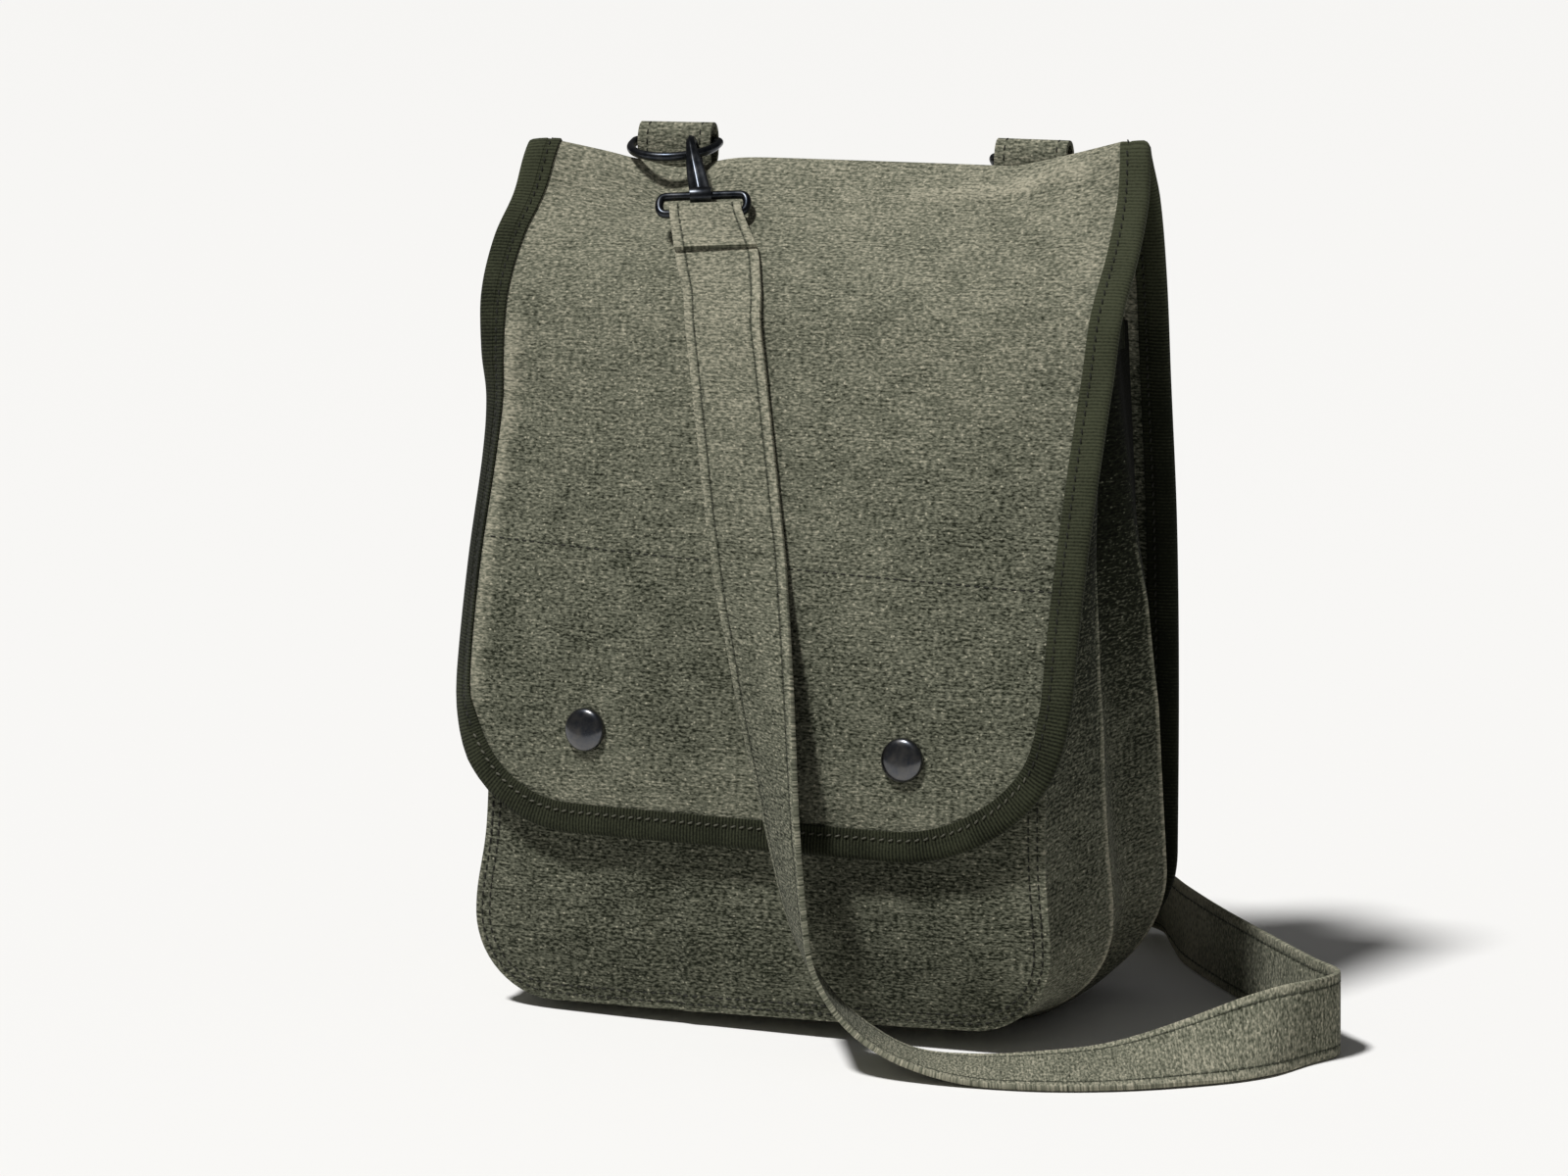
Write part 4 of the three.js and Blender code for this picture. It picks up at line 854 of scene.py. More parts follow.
for x, z in SNAPS:
    along = along_at(z, SHEET_LENGTH, x)
    snap_seats.append((sheet_at(along, np.float64(x)), sheet_normal(along, np.float64(x))))
beside_seam = np.minimum(sheet_x + left[:, None], right[:, None] - sheet_x)
# painted light and shade along the sheet and beside the back's seams, with paler rubbing on its ridges
sheet_wear_and_shade = np.interp(sheet_v, *FLAP_PAINTED_LIGHT) + FLAP_RIDGE_WEAR * creased(FLAP_WORN_RIDGES, sheet_x, sheet_v)
sheet_wear_and_shade -= np.interp(beside_seam, *PAINTED_SHADE_BESIDE) * np.interp(sheet_v, *PAINTED_SHADE_ALONG)
back_and_flap = cloth(
    "back_and_flap_canvas", sheet_grid, np.stack([sheet_x, sheet_v], -1),
    holes=[(seat, SNAP_HOLE) for seat, axis in snap_seats], wear=sheet_wear_and_shade,
)
stitch_x, stitch_z = np.linspace(*FLAP_STITCH_ENDS, FLAP_STITCH_STEPS).T
stitch_v = np.array([along_at(z, SHEET_LENGTH, x) for z, x in zip(stitch_z, stitch_x)])
flap_stitches = stitches("flap_stitches", [
    np.hstack([sheet_face(stitch_v, stitch_x), sheet_normal(stitch_v, stitch_x)])
], CANVAS_SHOWN / 2 + FLAP_STITCH_RISE, thread)
fit(back_and_flap, "back_and_flap")
fit(flap_stitches)

# Edge binding: dark ribbed cotton tape folded over the whole edge of that sheet and sewn through
# with one row of stitches near its inner edge, in a paler thread along the hem.
BINDING_STEP = 2.5
BINDING_STITCH_INSET = 5.8
# height above the cloth's middle, and slant
BINDING_STITCH = (2.45, 0.2)
HEM_STITCH = (2.5, 0.35)
HEM_STITCH_TOP = 28
HEM_THREAD = "504f43"
HEM_COLUMNS = 60
# painted light and shade: how much lighter the binding is drawn over the top and darker down the back and at
# the hem, by distance along the sheet, share; and how much painted shade it has on the flap's left side
BINDING_PAINTED_LIGHT = ([0, 190, 260, 290, 390, 460, 510], [-1, -1, 0.3, 0.6, 0.2, -0.22, -0.35])
BINDING_LEFT_PAINTED_SHADE = ([260, 320, 440, 475], [0, 0.7, 0.85, 0])
BINDING_LEFT_END = -60

hem_x = np.linspace(-sheet_edge(SHEET_LENGTH, -1), sheet_edge(SHEET_LENGTH, 1), HEM_COLUMNS)[1:-1]
foot_x = np.linspace(sheet_edge(0.0, 1), -sheet_edge(0.0, -1), HEM_COLUMNS)[1:-1]
edge_line = np.concatenate([
    np.stack([-left, sheet_stops], 1),
    np.stack([hem_x, np.full(len(hem_x), SHEET_LENGTH)], 1),
    np.stack([right, sheet_stops], 1)[::-1],
    np.stack([foot_x, np.zeros(len(foot_x))], 1),
])
edge_line = np.concatenate([edge_line, edge_line[:1]])
reach = reach_of(edge_line)
stops = np.linspace(0, reach[-1], int(reach[-1] / BINDING_STEP) + 1)[:-1]
edge_line = np.stack([np.interp(stops, reach, column) for column in edge_line.T], axis=1)
way = unit(np.roll(edge_line, -2, axis=0) - np.roll(edge_line, 2, axis=0))
inwards_way = np.stack([way[:, 1], -way[:, 0]], 1)


def on_binding(inwards, out):
    """Points round the sheet's edge, a distance in from it and out from the cloth's middle."""
    flat = edge_line + inwards_way * max(inwards, 0)
    place = sheet_face(flat[:, 1], flat[:, 0], np.full(len(flat), out))
    if inwards < 0:
        near = edge_line + inwards_way
        outwards = sheet_face(edge_line[:, 1], edge_line[:, 0]) - sheet_face(near[:, 1], near[:, 0])
        place -= unit(outwards) * inwards
    return place


rings = np.stack([on_binding(d, n) for d, n in folded_section(BINDING_WIDTH)], axis=1)
# painted light and shade along the binding, and painted shade on the flap's left side
binding_light_and_shade = np.interp(edge_line[:, 1], *BINDING_PAINTED_LIGHT)
binding_light_and_shade -= np.interp(edge_line[:, 1], *BINDING_LEFT_PAINTED_SHADE) * (edge_line[:, 0] < BINDING_LEFT_END)
edge_binding = skin("edge_binding_tape", rings, tape_cloth, closed=True, wear=binding_light_and_shade[:, None])
hem_thread = cotton_thread("pale_olive_cotton_thread", HEM_THREAD)
stitch_line = on_binding(BINDING_STITCH_INSET, 0)
stitch_normal = on_binding(BINDING_STITCH_INSET, 1) - stitch_line
stitch_run = np.hstack([stitch_line, stitch_normal])
in_hem = np.flatnonzero(edge_line[:, 1] > SHEET_LENGTH - HEM_STITCH_TOP)
around = np.concatenate([stitch_run[in_hem[-1]:], stitch_run[: in_hem[0]]])
height, slant = BINDING_STITCH
binding_stitches = stitches("binding_stitches", [around], height, thread, slant)
height, slant = HEM_STITCH
hem_stitches = stitches("hem_stitches", [stitch_run[in_hem]], height, hem_thread, slant)
fit(edge_binding, "edge_binding")
fit(binding_stitches)
fit(hem_stitches)

# Press studs: domed steel caps, blackened, pressed through the flap over a socket, and studs riveted
# through the front panel. The studs are out of sight and keep their CAD shape.
SNAP_CAP_RADIUS = 7.5
SNAP_POST_RADIUS = 2.4
SOCKET_RADIUS = 6
SOCKET_HEIGHT = 2.1
SOCKET_BORE = 2.9
SOCKET_DEPTH = 1.5
SOCKET_EDGE = 0.4
GAP = 0.35
SNAP_SIDES = 64
# share of the cap's radius, height above its rim
CAP_PROFILE = [
    (0, 3.3), (0.16, 3.29), (0.34, 3.24), (0.5, 3.15), (0.64, 3), (0.76, 2.78), (0.85, 2.5), (0.92, 2.15),
    (0.965, 1.72), (0.99, 1.25), (1, 0.75), (0.99, 0.3), (0.96, 0),
]
# Blackened steel: a blue-black oxide over smooth stamped or bent steel, glossy, with faint rubbed smears.
# On the caps it is lacquered, and rubbed paler by the thumbs that press them.
STEEL_SMEAR = 3.5
STEEL_GRAIN = 0.6
BLACK_STEEL = "2a2e34"
BLACK_STEEL_RUBBED = "4d4e50"
CAP_STEEL = "3a3e45"
CAP_STEEL_RUBBED = "5f5c58"


def blackened_steel(name, colour, rubbed, lacquer):
    """Steel with a dark oxide, rubbed paler in smears, under some lacquer."""
    material, tree = new_material(name)
    place = add_node(tree, "ShaderNodeTexCoord").outputs["Object"]
    smears = add_node(tree, "ShaderNodeTexNoise", {
        "Scale": 1 / (STEEL_SMEAR * MM), "Detail": 4, "Roughness": 0.6,
    }, {"Vector": place})
    grain = add_node(tree, "ShaderNodeTexNoise", {"Scale": 1 / (STEEL_GRAIN * MM), "Detail": 2}, {
        "Vector": place,
    })
    colours = add_node(tree, "ShaderNodeValToRGB", {"stops": [(0.35, colour), (0.8, rubbed)]}, {
        "Fac": smears.outputs["Fac"],
    })
    rough = add_node(tree, "ShaderNodeMapRange", {"To Min": 0.2, "To Max": 0.42}, {
        "Value": smears.outputs["Fac"],
    })
    bump = add_node(tree, "ShaderNodeBump", {"Strength": 0.08, "Distance": 0.1 * MM}, {
        "Height": grain.outputs["Fac"],
    })
    shader = add_node(tree, "ShaderNodeBsdfPrincipled", {
        "Metallic": 1, "Coat Weight": lacquer, "Coat Roughness": 0.12,
    }, {
        "Base Color": colours.outputs["Color"], "Roughness": rough.outputs["Result"],
        "Normal": bump.outputs["Normal"],
    })
    add_node(tree, "ShaderNodeOutputMaterial", None, {"Surface": shader.outputs["BSDF"]})
    return material


black_steel = blackened_steel("blackened_steel", BLACK_STEEL, BLACK_STEEL_RUBBED, 0)
cap_steel = blackened_steel("lacquered_blackened_steel", CAP_STEEL, CAP_STEEL_RUBBED, 1)

for name, (seat, axis) in zip(("left", "right"), snap_seats):
    face = CANVAS / 2 + GAP
    socket = -face - SOCKET_HEIGHT
    profile = [(r * SNAP_CAP_RADIUS, face + h) for r, h in CAP_PROFILE] + [
        (SNAP_POST_RADIUS, face), (SNAP_POST_RADIUS, -face), (SOCKET_RADIUS - SOCKET_EDGE, -face),
        (SOCKET_RADIUS, -face - SOCKET_EDGE), (SOCKET_RADIUS, socket + SOCKET_EDGE),
        (SOCKET_RADIUS - SOCKET_EDGE, socket), (SOCKET_BORE, socket),
        (SOCKET_BORE, socket + SOCKET_DEPTH), (0, socket + SOCKET_DEPTH),
    ]
    sideways = unit(np.cross(axis, [0, 0, 1]))
    upwards = np.cross(sideways, axis)
    angle = turns(SNAP_SIDES)
    rim = np.outer(np.cos(angle), sideways) + np.outer(np.sin(angle), upwards)
    rings = np.stack([seat + axis * height + rim * radius for radius, height in profile])
    fit(skin(f"snap_cap_{name}_steel", rings, cap_steel), f"snap_cap_{name}")
    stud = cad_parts[f"snap_stud_{name}"]
    stud.data.materials.clear()
    stud.data.materials.append(black_steel)

# Ring loops: strips of the same canvas, sewn to the back at the top and folded into an eye for the
# ring, with a row of stitches beside each edge.
LOOP_WIDTH = 26.5
LOOP_SEWN_TOP = 281
LOOP_COLUMNS = 12
LOOP_STEP = 1.2
LOOP_STITCH_INSET = 3.6
LOOP_STITCH_RISE = 0.25
# where they are cut from the canvas, away from the other pieces
LOOP_CUT_FROM = 400
EYE_OUT = 3.9
EYE_Z = 292.2
# distance out from the back panel's face, height
LOOP_LINE = np.array([
    [1.3, 256], [1.3, 270], [1.3, 281.5], [0.6, 287], [0.9, 294], [2.4, 297.4], [4.2, 298.2],
    [6, 297.2], [7.2, 294], [6.6, 287], [3.3, 281], [3.3, 270], [3.3, 256],
])
# Each side of the top: the loop's middle and how much lower it is, the way that the ring points from
# its bar, where on the ring the hook hangs and how far it is pushed up on it, how far the bail and the
# strap slide along the bail's bar and how the strap leans from it, the hook's way down and out, and
# those of the bail and strap
SIDES = {
    "left": {
        "x": -67.5, "lower": 0, "ring_way": (0, -0.98, -0.2), "hook_angle": 46, "hook_up": 1.3,
        "slide": 0.8, "lean": 0.229, "down": (0.424, -0.69, -0.587), "out": (0, -0.666, 0.746),
        "strap_down": (0.283, -0.656, -0.7), "bail_out": (0.249, -0.654, 0.714),
    },
    "right": {
        "x": 65.5, "lower": 2.5, "ring_way": (0, 0.74, -0.673), "hook_angle": 90, "hook_up": 0,
        "slide": 0, "lean": 0, "down": (0, 0, -1), "out": (0, 1, 0),
        "strap_down": (0, 0, -1), "bail_out": (0, 1, 0),
    },
}


def smooth_line(rows, step):
    """A smooth curve through rows of places, or places with a width way, at about even steps."""
    rows = np.asarray(rows, float)
    length = reach_of(rows[:, :3])
    stops = np.linspace(0, length[-1], max(int(length[-1] / step), len(rows)) + 1)
    return row_at(np.hstack([length[:, None], rows]), stops)[:, 1:]


def loop_at(side, x, out, z):
    """A place on a ring loop."""
    height = z - side["lower"]
    sewn = min(height, LOOP_SEWN_TOP - side["lower"])
    back = sheet_at(along_at(sewn, 0, x), np.float64(x))[1]
    return np.array([x, back + CANVAS / 2 + out, height])


for name, side in SIDES.items():
    line = smooth_line(np.hstack([LOOP_LINE, np.zeros((len(LOOP_LINE), 1))]), LOOP_STEP)
    columns = np.linspace(-LOOP_WIDTH / 2, LOOP_WIDTH / 2, LOOP_COLUMNS + 1)
    grid = np.array([[loop_at(side, side["x"] + x, out, z) for x in columns] for out, z, _ in line])
    run = reach_of(grid[:, 0])
    flat = np.stack(np.broadcast_arrays(columns + LOOP_CUT_FROM, run[:, None]), -1)
    loop = cloth(f"ring_loop_{name}_canvas", grid, flat)
    runs = []
    for x in (LOOP_STITCH_INSET - LOOP_WIDTH / 2, LOOP_WIDTH / 2 - LOOP_STITCH_INSET):
        seam = np.array([loop_at(side, side["x"] + x, out, z) for out, z, _ in line])
        square = np.cross(np.gradient(seam, axis=0), [1, 0, 0])
        runs.append(np.hstack([seam, square]))
    sewn = stitches(f"ring_loop_{name}_stitches", runs, CANVAS_SHOWN / 2 + LOOP_STITCH_RISE, thread)
    fit(loop, f"ring_loop_{name}")
    fit(sewn)

# D-rings: bent from round steel wire and blackened. The straight bar lies inside the loop's eye, and
# the round end carries the hook.
RING_WIRE = 1.6
RING_HALF_WIDTH = 15.4
RING_SIDE = 4
RING_DEPTH = 18
RING_CORNER = 1.4
RING_ARC_STEPS = 48
RING_BEND_STEPS = 6
WIRE_SIDES = 20


def wire(name, points, radius):
    """A flat closed loop of round wire through a ring of points."""
    flat = unit(sum(np.cross(p - points[0], points[i - 1] - points[0]) for i, p in enumerate(points)))
    side = np.cross(unit(np.roll(points, -1, axis=0) - np.roll(points, 1, axis=0)), flat)
    angle = turns(WIRE_SIDES)[:, None]
    rings = points[:, None] + radius * (np.cos(angle) * side[:, None] + np.sin(angle) * flat)
    return skin(name, rings, black_steel, closed=True)


def on_ring(side, along_bar, depth):
    """A place on a ring's plane, by the way along its bar and away from it."""
    start, end = [loop_at(side, side["x"] + way * LOOP_WIDTH / 2, EYE_OUT, EYE_Z) for way in (-1, 1)]
    sideways = unit(end - start)
    away = np.array(side["ring_way"], float)
    away = unit(away - sideways * (away @ sideways))
    return (start + end) / 2 + sideways * along_bar + away * depth


def ring_arc(angle):
    """The ring's round end, by angle."""
    return RING_HALF_WIDTH * math.cos(angle), RING_SIDE + (RING_DEPTH - RING_SIDE) * math.sin(angle)


for name, side in SIDES.items():
    line = [ring_arc(math.pi * i / RING_ARC_STEPS) for i in range(RING_ARC_STEPS + 1)]
    bar_end = RING_HALF_WIDTH - RING_CORNER
    bend = np.linspace(0, math.pi / 2, RING_BEND_STEPS + 1)
    line += [(-bar_end - RING_CORNER * math.cos(a), RING_CORNER - RING_CORNER * math.sin(a)) for a in bend]
    line += [(bar_end * share, 0) for share in (-0.5, 0, 0.5)]
    line += [(bar_end + RING_CORNER * math.sin(a), RING_CORNER - RING_CORNER * math.cos(a)) for a in bend]
    ring = wire(f"ring_{name}_steel", np.array([on_ring(side, *p) for p in line]), RING_WIRE)
    fit(ring, f"ring_{name}")

# Snap hooks: a cast hook with a ridge down its back, a sleeve that the bail turns in, a spring gate on
# a pin between two cheeks, and a wire bail for the strap. Only the left gate is free to open.
HOOK_EYE = 4.6
HOOK_STEPS = 60
HOOK_ROUND = 0.25
COLLAR_Y = 0.6
COLLAR_Z = -23.4
COLLAR_RADIUS = 3.1
COLLAR_WIDTH = 7.4
BAIL_WIRE = 1.5
BAIL_HALF_WIDTH = 15.2
BAIL_END = 3.8
BAIL_END_POWER = 0.5
BAIL_END_STEPS = 16
HINGE_Y = -2.4
HINGE_Z = -15.5
HINGE_PIN = 0.8
CHEEK_WIDTH = 6.4
CHEEK_DEPTH = 5.4
CHEEK_HEIGHT = 5
CHEEK_WALL = 1.4
SLOT_DEPTH = 4.6
SLOT_HEIGHT = 5.2
EYE_WALL = 0.9
GATE_WIDTH = 2.6
GATE_THICKNESS = 1.3
GATE_TIP_Z = -5.95
GATE_ROUND = 0.2
# y, z, width, thickness
HOOK_LINE = np.array([
    [-4.6, -5.5, 2.4, 2], [-4.6, 0, 3, 2.5], [-3.25, 3.25, 3, 2.6], [0, 4.6, 3, 2.6],
    [3.25, 3.25, 3, 2.6], [4.6, 0, 3.2, 2.6], [4.6, -5, 4.2, 2.7], [4.1, -10, 5.6, 2.8],
    [2.8, -15.6, 6.8, 3], [0.9, -21.4, 7.4, 4.2],
])
# shares of half the width and of the thickness, with a ridge along the outside
HOOK_SECTION = np.array([
    [-1, -0.1], [-0.96, -0.26], [-0.75, -0.35], [-0.35, -0.44], [0, -0.48], [0.35, -0.44], [0.75, -0.35],
    [0.96, -0.26], [1, -0.1], [1, 0.08], [0.93, 0.2], [0.7, 0.27], [0.35, 0.38], [0.1, 0.5], [-0.1, 0.5],
    [-0.35, 0.38], [-0.7, 0.27], [-0.93, 0.2], [-1, 0.08],
])


def frame_at(place, down, out):
    """A frame with z against a way down, y out from the bag and x along the bail."""
    z = -Vector(down).normalized()
    y = Vector(out)
    y = (y - z * y.dot(z)).normalized()
    axes = Matrix((y.cross(z), y, z)).transposed()
    return Matrix.Translation(Vector(place)) @ axes.to_4x4()


def combine(piece, tool, operation):
    """Joins a tool to a piece, or cuts it out of it."""
    bpy.context.view_layer.objects.active = piece
    change = piece.modifiers.new("combine", "BOOLEAN")
    change.operation = operation
    change.object = tool
    change.solver = "EXACT"
    bpy.ops.object.modifier_apply(modifier="combine")
    bpy.data.objects.remove(tool, do_unlink=True)


def rod(radius, length, way, place, sides=40):
    """A round bar in a hook's own frame."""
    bpy.ops.object.select_all(action="DESELECT")
    turn = Vector((0, 0, 1)).rotation_difference(Vector(way))
    bpy.ops.mesh.primitive_cylinder_add(vertices=sides, radius=radius * MM, depth=length * MM)
    bar = bpy.context.object
    bar.data.transform(Matrix.Translation(Vector(place) * MM) @ turn.to_matrix().to_4x4())
    return bar


def block(size, place):
    """A square block in a hook's own frame."""
    bpy.ops.object.select_all(action="DESELECT")
    bpy.ops.mesh.primitive_cube_add(size=1)
    cube = bpy.context.object
    scale = Matrix.Diagonal((*[s * MM for s in size], 1))
    cube.data.transform(Matrix.Translation(Vector(place) * MM) @ scale)
    return cube


def finished(piece, name, place, round_off):
    """Rounds a hook part's edges and puts it in its place on the bag."""
    bpy.ops.object.select_all(action="DESELECT")
    bpy.context.view_layer.objects.active = piece
    piece.select_set(True)
    edges = piece.modifiers.new("edges", "BEVEL")
    edges.width = round_off * MM
    edges.segments = 2
    edges.limit_method = "ANGLE"
    edges.angle_limit = math.radians(40)
    bpy.ops.object.modifier_apply(modifier="edges")
    to_metres = place.copy()
    to_metres.translation *= MM
    piece.data.transform(to_metres)
    bpy.ops.object.shade_smooth_by_angle(angle=math.radians(40))
    piece.name = piece.data.name = name
    piece.data.materials.clear()
    piece.data.materials.append(black_steel)
    piece.select_set(False)
    return piece


bail_frames = {}
for name, side in SIDES.items():
    eye = on_ring(side, *ring_arc(math.radians(side["hook_angle"])))
    hook_frame = frame_at(eye - side["hook_up"] * unit(side["down"]), side["down"], side["out"])
    collar = hook_frame @ Vector((0, COLLAR_Y, COLLAR_Z))
    bail_frame = frame_at(collar, side["strap_down"], side["bail_out"])
    bar = bail_frame.to_3x3().col[0]
    bail_axis = hook_frame.to_3x3().inverted() @ bar
    bail_frame = Matrix.Translation(bar * math.copysign(side["slide"], bar.x)) @ bail_frame
    bail_frames[name] = bail_frame

    reach = reach_of(HOOK_LINE[:, :2])
    stops = np.linspace(0, reach[-1], HOOK_STEPS)
    line = row_at(np.hstack([reach[:, None], HOOK_LINE]), stops)[:, 1:]
    y, z, width, thickness = line.T
    way = unit(np.gradient(line[:, :2], axis=0))
    rings = np.stack([
        np.stack([w * width / 2, y - way[:, 1] * n * thickness, z + way[:, 0] * n * thickness], 1)
        for w, n in HOOK_SECTION
    ], axis=1)
    hook = skin(f"hook_{name}", rings, None)
    combine(hook, rod(COLLAR_RADIUS, COLLAR_WIDTH, bail_axis, (0, COLLAR_Y, COLLAR_Z)), "UNION")
    cheeks = block((CHEEK_WIDTH, CHEEK_DEPTH, CHEEK_HEIGHT), (
        0, HINGE_Y + CHEEK_DEPTH / 2 - CHEEK_WALL, HINGE_Z - CHEEK_HEIGHT / 2 + CHEEK_WALL,
    ))
    combine(hook, cheeks, "UNION")
    combine(hook, block((GATE_WIDTH + 2 * GAP, SLOT_DEPTH, SLOT_HEIGHT), (0, HINGE_Y, HINGE_Z)), "DIFFERENCE")
    combine(hook, rod(HINGE_PIN, CHEEK_WIDTH - GAP, (1, 0, 0), (0, HINGE_Y, HINGE_Z), 24), "UNION")
    combine(hook, rod(BAIL_WIRE + GAP, 4 * COLLAR_RADIUS, bail_axis, (0, COLLAR_Y, COLLAR_Z)), "DIFFERENCE")
    fit(finished(hook, f"hook_{name}_steel", hook_frame, HOOK_ROUND), f"hook_{name}")

    bore = HINGE_PIN + GAP
    half = GATE_THICKNESS / 2
    lever = np.array([
        [HINGE_Y - bore - half, HINGE_Z], [-HOOK_EYE - half, GATE_TIP_Z - GATE_THICKNESS],
        [-HOOK_EYE - half, GATE_TIP_Z], [-HOOK_EYE + half, GATE_TIP_Z],
        [-HOOK_EYE + half, GATE_TIP_Z - GATE_THICKNESS], [HINGE_Y, HINGE_Z + bore + half],
    ])
    rings = np.stack([np.insert(lever, 0, x, axis=1) for x in (-GATE_WIDTH / 2, GATE_WIDTH / 2)])
    gate = skin(f"hook_gate_{name}", rings, None)
    combine(gate, rod(bore + EYE_WALL, GATE_WIDTH, (1, 0, 0), (0, HINGE_Y, HINGE_Z), 32), "UNION")
    combine(gate, rod(bore, 2 * GATE_WIDTH, (1, 0, 0), (0, HINGE_Y, HINGE_Z), 32), "DIFFERENCE")
    gate = finished(gate, f"hook_gate_{name}_steel", hook_frame, GATE_ROUND)
    fit(gate, f"hook_gate_{name}", "gate_left" if name == "left" else "bag")

    line = []
    for way in (1, -1):
        for angle in np.linspace(0, math.pi, BAIL_END_STEPS + 1):
            x = BAIL_HALF_WIDTH - BAIL_END + BAIL_END * abs(math.sin(angle)) ** BAIL_END_POWER
            line.append(bail_frame @ Vector((way * x, 0, -BAIL_END + way * BAIL_END * math.cos(angle))))
    fit(wire(f"hook_bail_{name}_steel", np.array(line), BAIL_WIRE), f"hook_bail_{name}")

# Shoulder strap: canvas folded into a flat band and sewn along both edges, each end turned back round
# its bail. It lies on the flap, turns edge-on at the hem, lands, folds and runs round behind the bag.
STRAP = 2.0
STRAP_WIDTH = 28.5
STRAP_TAB = 16
STRAP_SQUEEZE = 0.87
STRAP_STEP = 2.5
STRAP_STITCH_INSET = 3.5
STRAP_STITCH_RISE = 0.12
WRAP_STEPS = 10
# x, y, z of the middle line and the way of its width
STRAP_ROUTE = np.array([
    [-33.6, 5.6, 258.6, 0.92, 0.38, 0.07],
    [-30.4, 1, 252, 0.97, 0.2, 0.06],
    [-28, -2.6, 246.6, 1, 0.08, 0.03],
    [-25.7, -7.6, 237.3, 1, 0, 0],
    [-22.3, -12, 224.7, 1, 0, 0],
    [-18.6, -17.2, 211.5, 1, 0, 0],
    [-14, -23.4, 195.1, 1, 0, 0],
    [-9.5, -29.6, 178.8, 1, 0, 0],
    [-5, -35.4, 163, 1, -0.04, 0],
    [-0.8, -41.5, 149, 0.99, -0.13, 0],
    [4.2, -48.4, 135, 0.96, -0.27, 0],
    [8.4, -53.8, 120, 0.92, -0.38, 0],
    [12.8, -59.2, 104, 0.86, -0.5, 0],
    [17.4, -64.4, 88, 0.78, -0.62, 0],
    [21.8, -68.5, 70, 0.7, -0.71, 0],
    [26.3, -71.8, 52, 0.62, -0.78, 0],
    [31.4, -74, 36, 0.52, -0.85, 0],
    [41, -75.5, 22.5, 0.46, -0.89, 0],
    [52.5, -75, 12.6, 0.4, -0.92, 0.04],
    [68, -73.5, 5.2, 0.33, -0.945, 0.08],
    [88, -71.5, 2.6, 0.34, -0.94, -0.04],
    [112.6, -67.5, 3.5, 0.4, -0.9, -0.14],
    [135.5, -58.5, 5.1, 0.42, -0.87, -0.26],
    [158, -45.2, 8.8, 0.42, -0.73, -0.53],
    [177.5, -32, 13.3, 0.22, -0.42, -0.88],
    [188.5, -18, 14.7, 0, 0, -1],
    [193.5, -7, 14.7, 0, 0, -1],
    [192, -0.5, 14.7, 0, 0, -1],
    [180, 10, 14.7, 0, 0, -1],
    [155, 35, 14.7, 0, 0, -1],
    [128, 63, 14.7, 0, 0, -1],
    [106, 88, 14.7, 0, 0, -1],
    [92, 108, 14.7, 0.1, 0.1, -0.99],
    [80, 121, 14.5, 0.3, 0.25, -0.9],
    [68, 122, 13.7, 0.65, 0.1, -0.73],
    [62, 112, 7.9, 0.93, 0, -0.35],
    [61, 98, 4, 1, 0, -0.08],
    [61.5, 84, 7, 1, 0, 0],
    [62, 75, 18, 1, 0, 0],
    [62.5, 70, 38, 1, 0, 0],
    [63, 67, 70, 1, 0, 0],
    [64, 64.5, 115, 1, 0, 0],
    [65, 62, 165, 1, 0, 0],
    [65.5, 60.5, 210, 1, 0, 0],
    [65.5, 60, 236, 1, 0, 0],
])
# Section: shares of half the width and of half the thickness, with a groove at each row of stitches
STRAP_GROOVE = 0.755
STRAP_UPPER = [
    (1, 0), (0.996, 0.55), (0.985, 0.88), (0.955, 1), (0.88, 1), (0.8, 0.98), (STRAP_GROOVE, 0.8),
    (0.71, 0.98), (0.45, 1), (0.22, 1), (0, 1),
]
# painted light and shade: how much lighter the strap is drawn, by distance along the strap, share, lighter up
# at the ring, darker down the flap and at the hem, much lighter in the bag's shadow behind it; how much more
# rubbed at the rims, and the painted shade in the grooves
STRAP_PAINTED_LIGHT = (
    [0, 60, 150, 230, 290, 340, 430, 560, 610, 680],
    [0.4, 0.35, -0.2, -0.35, -0.35, 0.05, 0.2, -0.2, 0.9, 0.2],
)
STRAP_RIM = 0.87
STRAP_RIM_WEAR = 0.3
STRAP_GROOVE_SHADE = 0.9
STRAP_THREAD = "3d3e32"
# where it is cut from the canvas, away from the other pieces
STRAP_CUT_FROM = 300


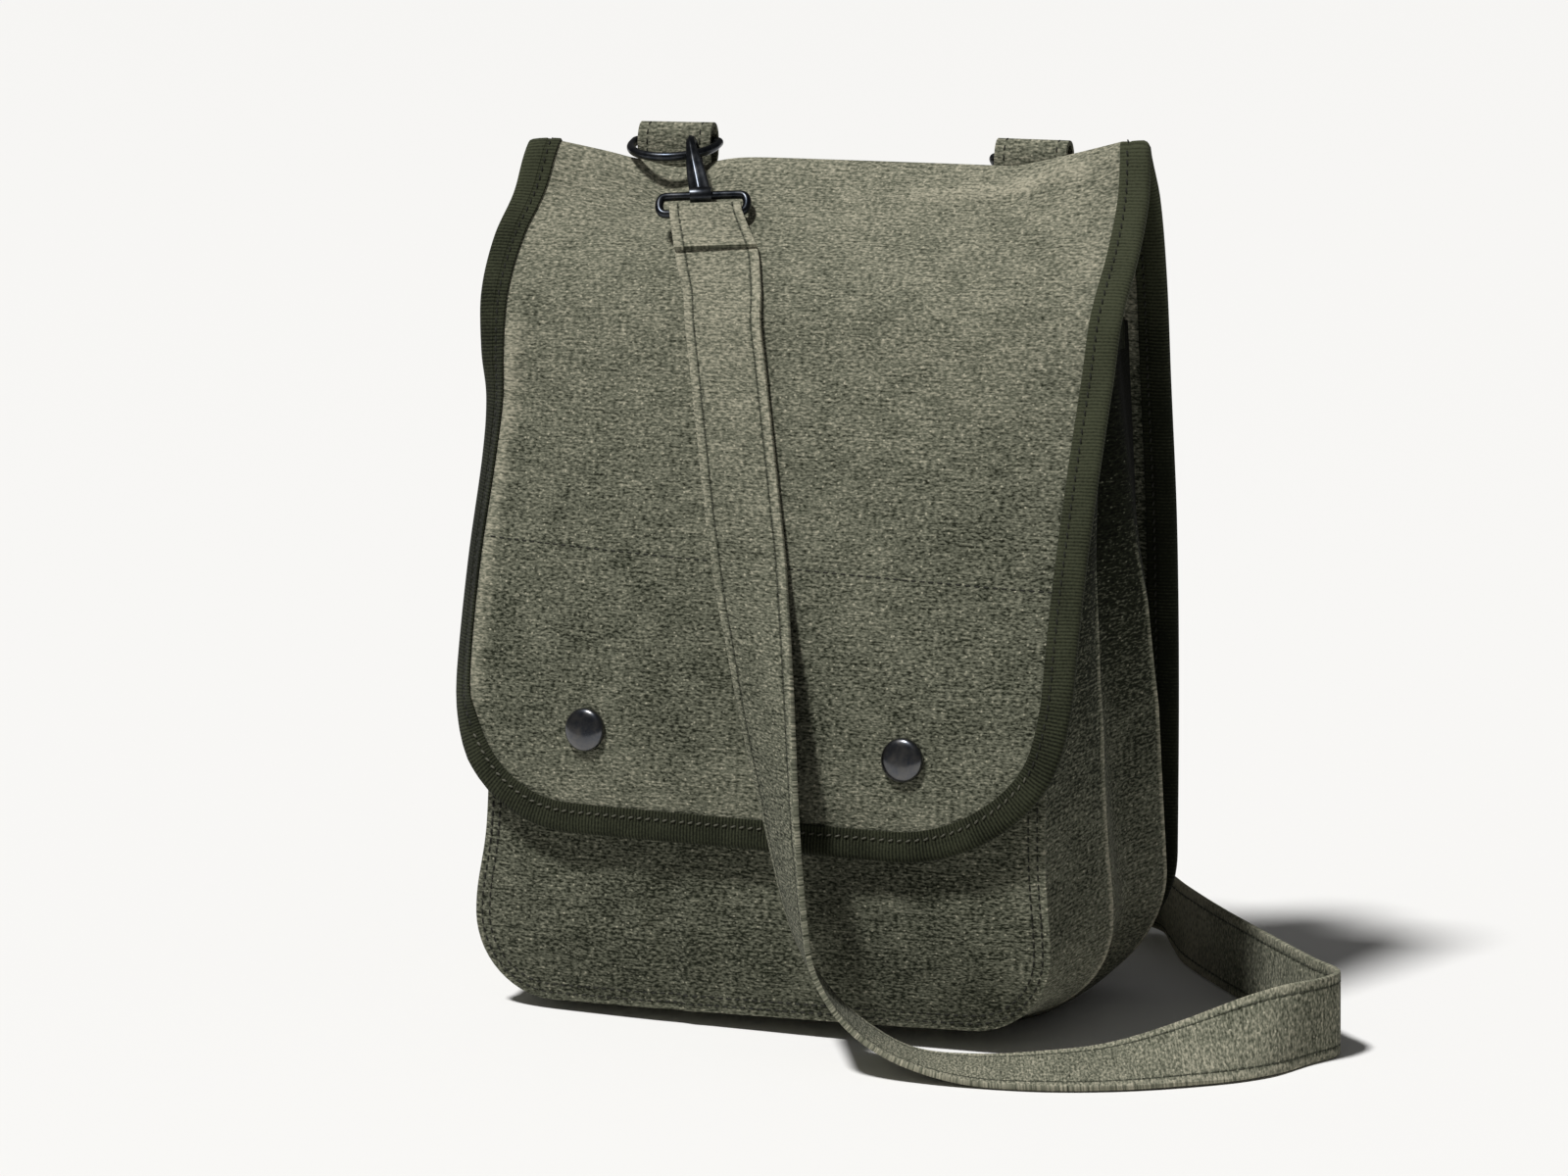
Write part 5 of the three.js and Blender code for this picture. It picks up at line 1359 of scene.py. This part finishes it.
def strap_end(frame_of_bail, side):
    """The strap's end from its cut tail round the bail's lower bar, with the way and share of its width."""
    bend = BAIL_WIRE + GAP + STRAP / 2
    layer = (STRAP + GAP) / 2
    line = [(layer, -STRAP_TAB), (layer, -STRAP_TAB / 2), (bend, 0)]
    for i in range(1, WRAP_STEPS):
        angle = math.pi * i / WRAP_STEPS
        line.append((bend * math.cos(angle), bend * math.sin(angle)))
    line += [(-bend, 0), (-layer, -STRAP_TAB / 2)]
    bar = frame_of_bail.to_3x3().col[0]
    turn = 1 if bar.x > 0 else -1
    rows = []
    for out, up in line:
        free = min(max(-up / STRAP_TAB, 0), 1)
        slide = turn * (side["slide"] + side["lean"] * max(-up, 0))
        place = frame_of_bail @ Vector((slide, out, up - 2 * BAIL_END))
        rows.append([*place, *(turn * bar), STRAP_SQUEEZE + (1 - STRAP_SQUEEZE) * free])
    return rows


strap_rows = np.concatenate([
    strap_end(bail_frames["left"], SIDES["left"]),
    np.hstack([STRAP_ROUTE[:, :3], unit(STRAP_ROUTE[:, 3:]), np.ones((len(STRAP_ROUTE), 1))]),
    strap_end(bail_frames["right"], SIDES["right"])[::-1],
])
strap_line = smooth_line(strap_rows, STRAP_STEP)
middle = strap_line[:, :3]
wide = unit(strap_line[:, 3:6])
face = unit(np.cross(unit(np.gradient(middle, axis=0)), wide))
wide = wide * strap_line[:, 6:]
upper = STRAP_UPPER + [(-w, n) for w, n in STRAP_UPPER[-2::-1]]
section = np.array(upper + [(w, -n) for w, n in upper[-2:0:-1]]) * [STRAP_WIDTH / 2, STRAP / 2]
rings = np.stack([middle + wide * w + face * n for w, n in section], axis=1)
run = reach_of(middle)
across = np.append(section[:, 0], section[0, 0])
flat = np.stack(np.broadcast_arrays(across + STRAP_CUT_FROM, run[:, None]), -1)
shares = np.abs(section[:, 0]) / (STRAP_WIDTH / 2)
# painted light and shade along the strap, paler rubbed rims, and painted shade in the grooves
strap_wear_and_shade = np.interp(run, *STRAP_PAINTED_LIGHT)[:, None] + STRAP_RIM_WEAR * (shares > STRAP_RIM)
strap_wear_and_shade -= STRAP_GROOVE_SHADE * np.isclose(shares, STRAP_GROOVE)
strap = skin("strap_canvas", rings, canvas, flat, wear=strap_wear_and_shade)
strap_runs = []
for edge in (-1, 1):
    seam = middle + wide * edge * (STRAP_WIDTH / 2 - STRAP_STITCH_INSET)
    strap_runs.append(np.hstack([seam, face]))
strap_thread = cotton_thread("faded_olive_cotton_thread", STRAP_THREAD)
strap_stitches = stitches("strap_stitches", strap_runs, STRAP / 2 + STRAP_STITCH_RISE, strap_thread)
fit(strap, "strap")
fit(strap_stitches)
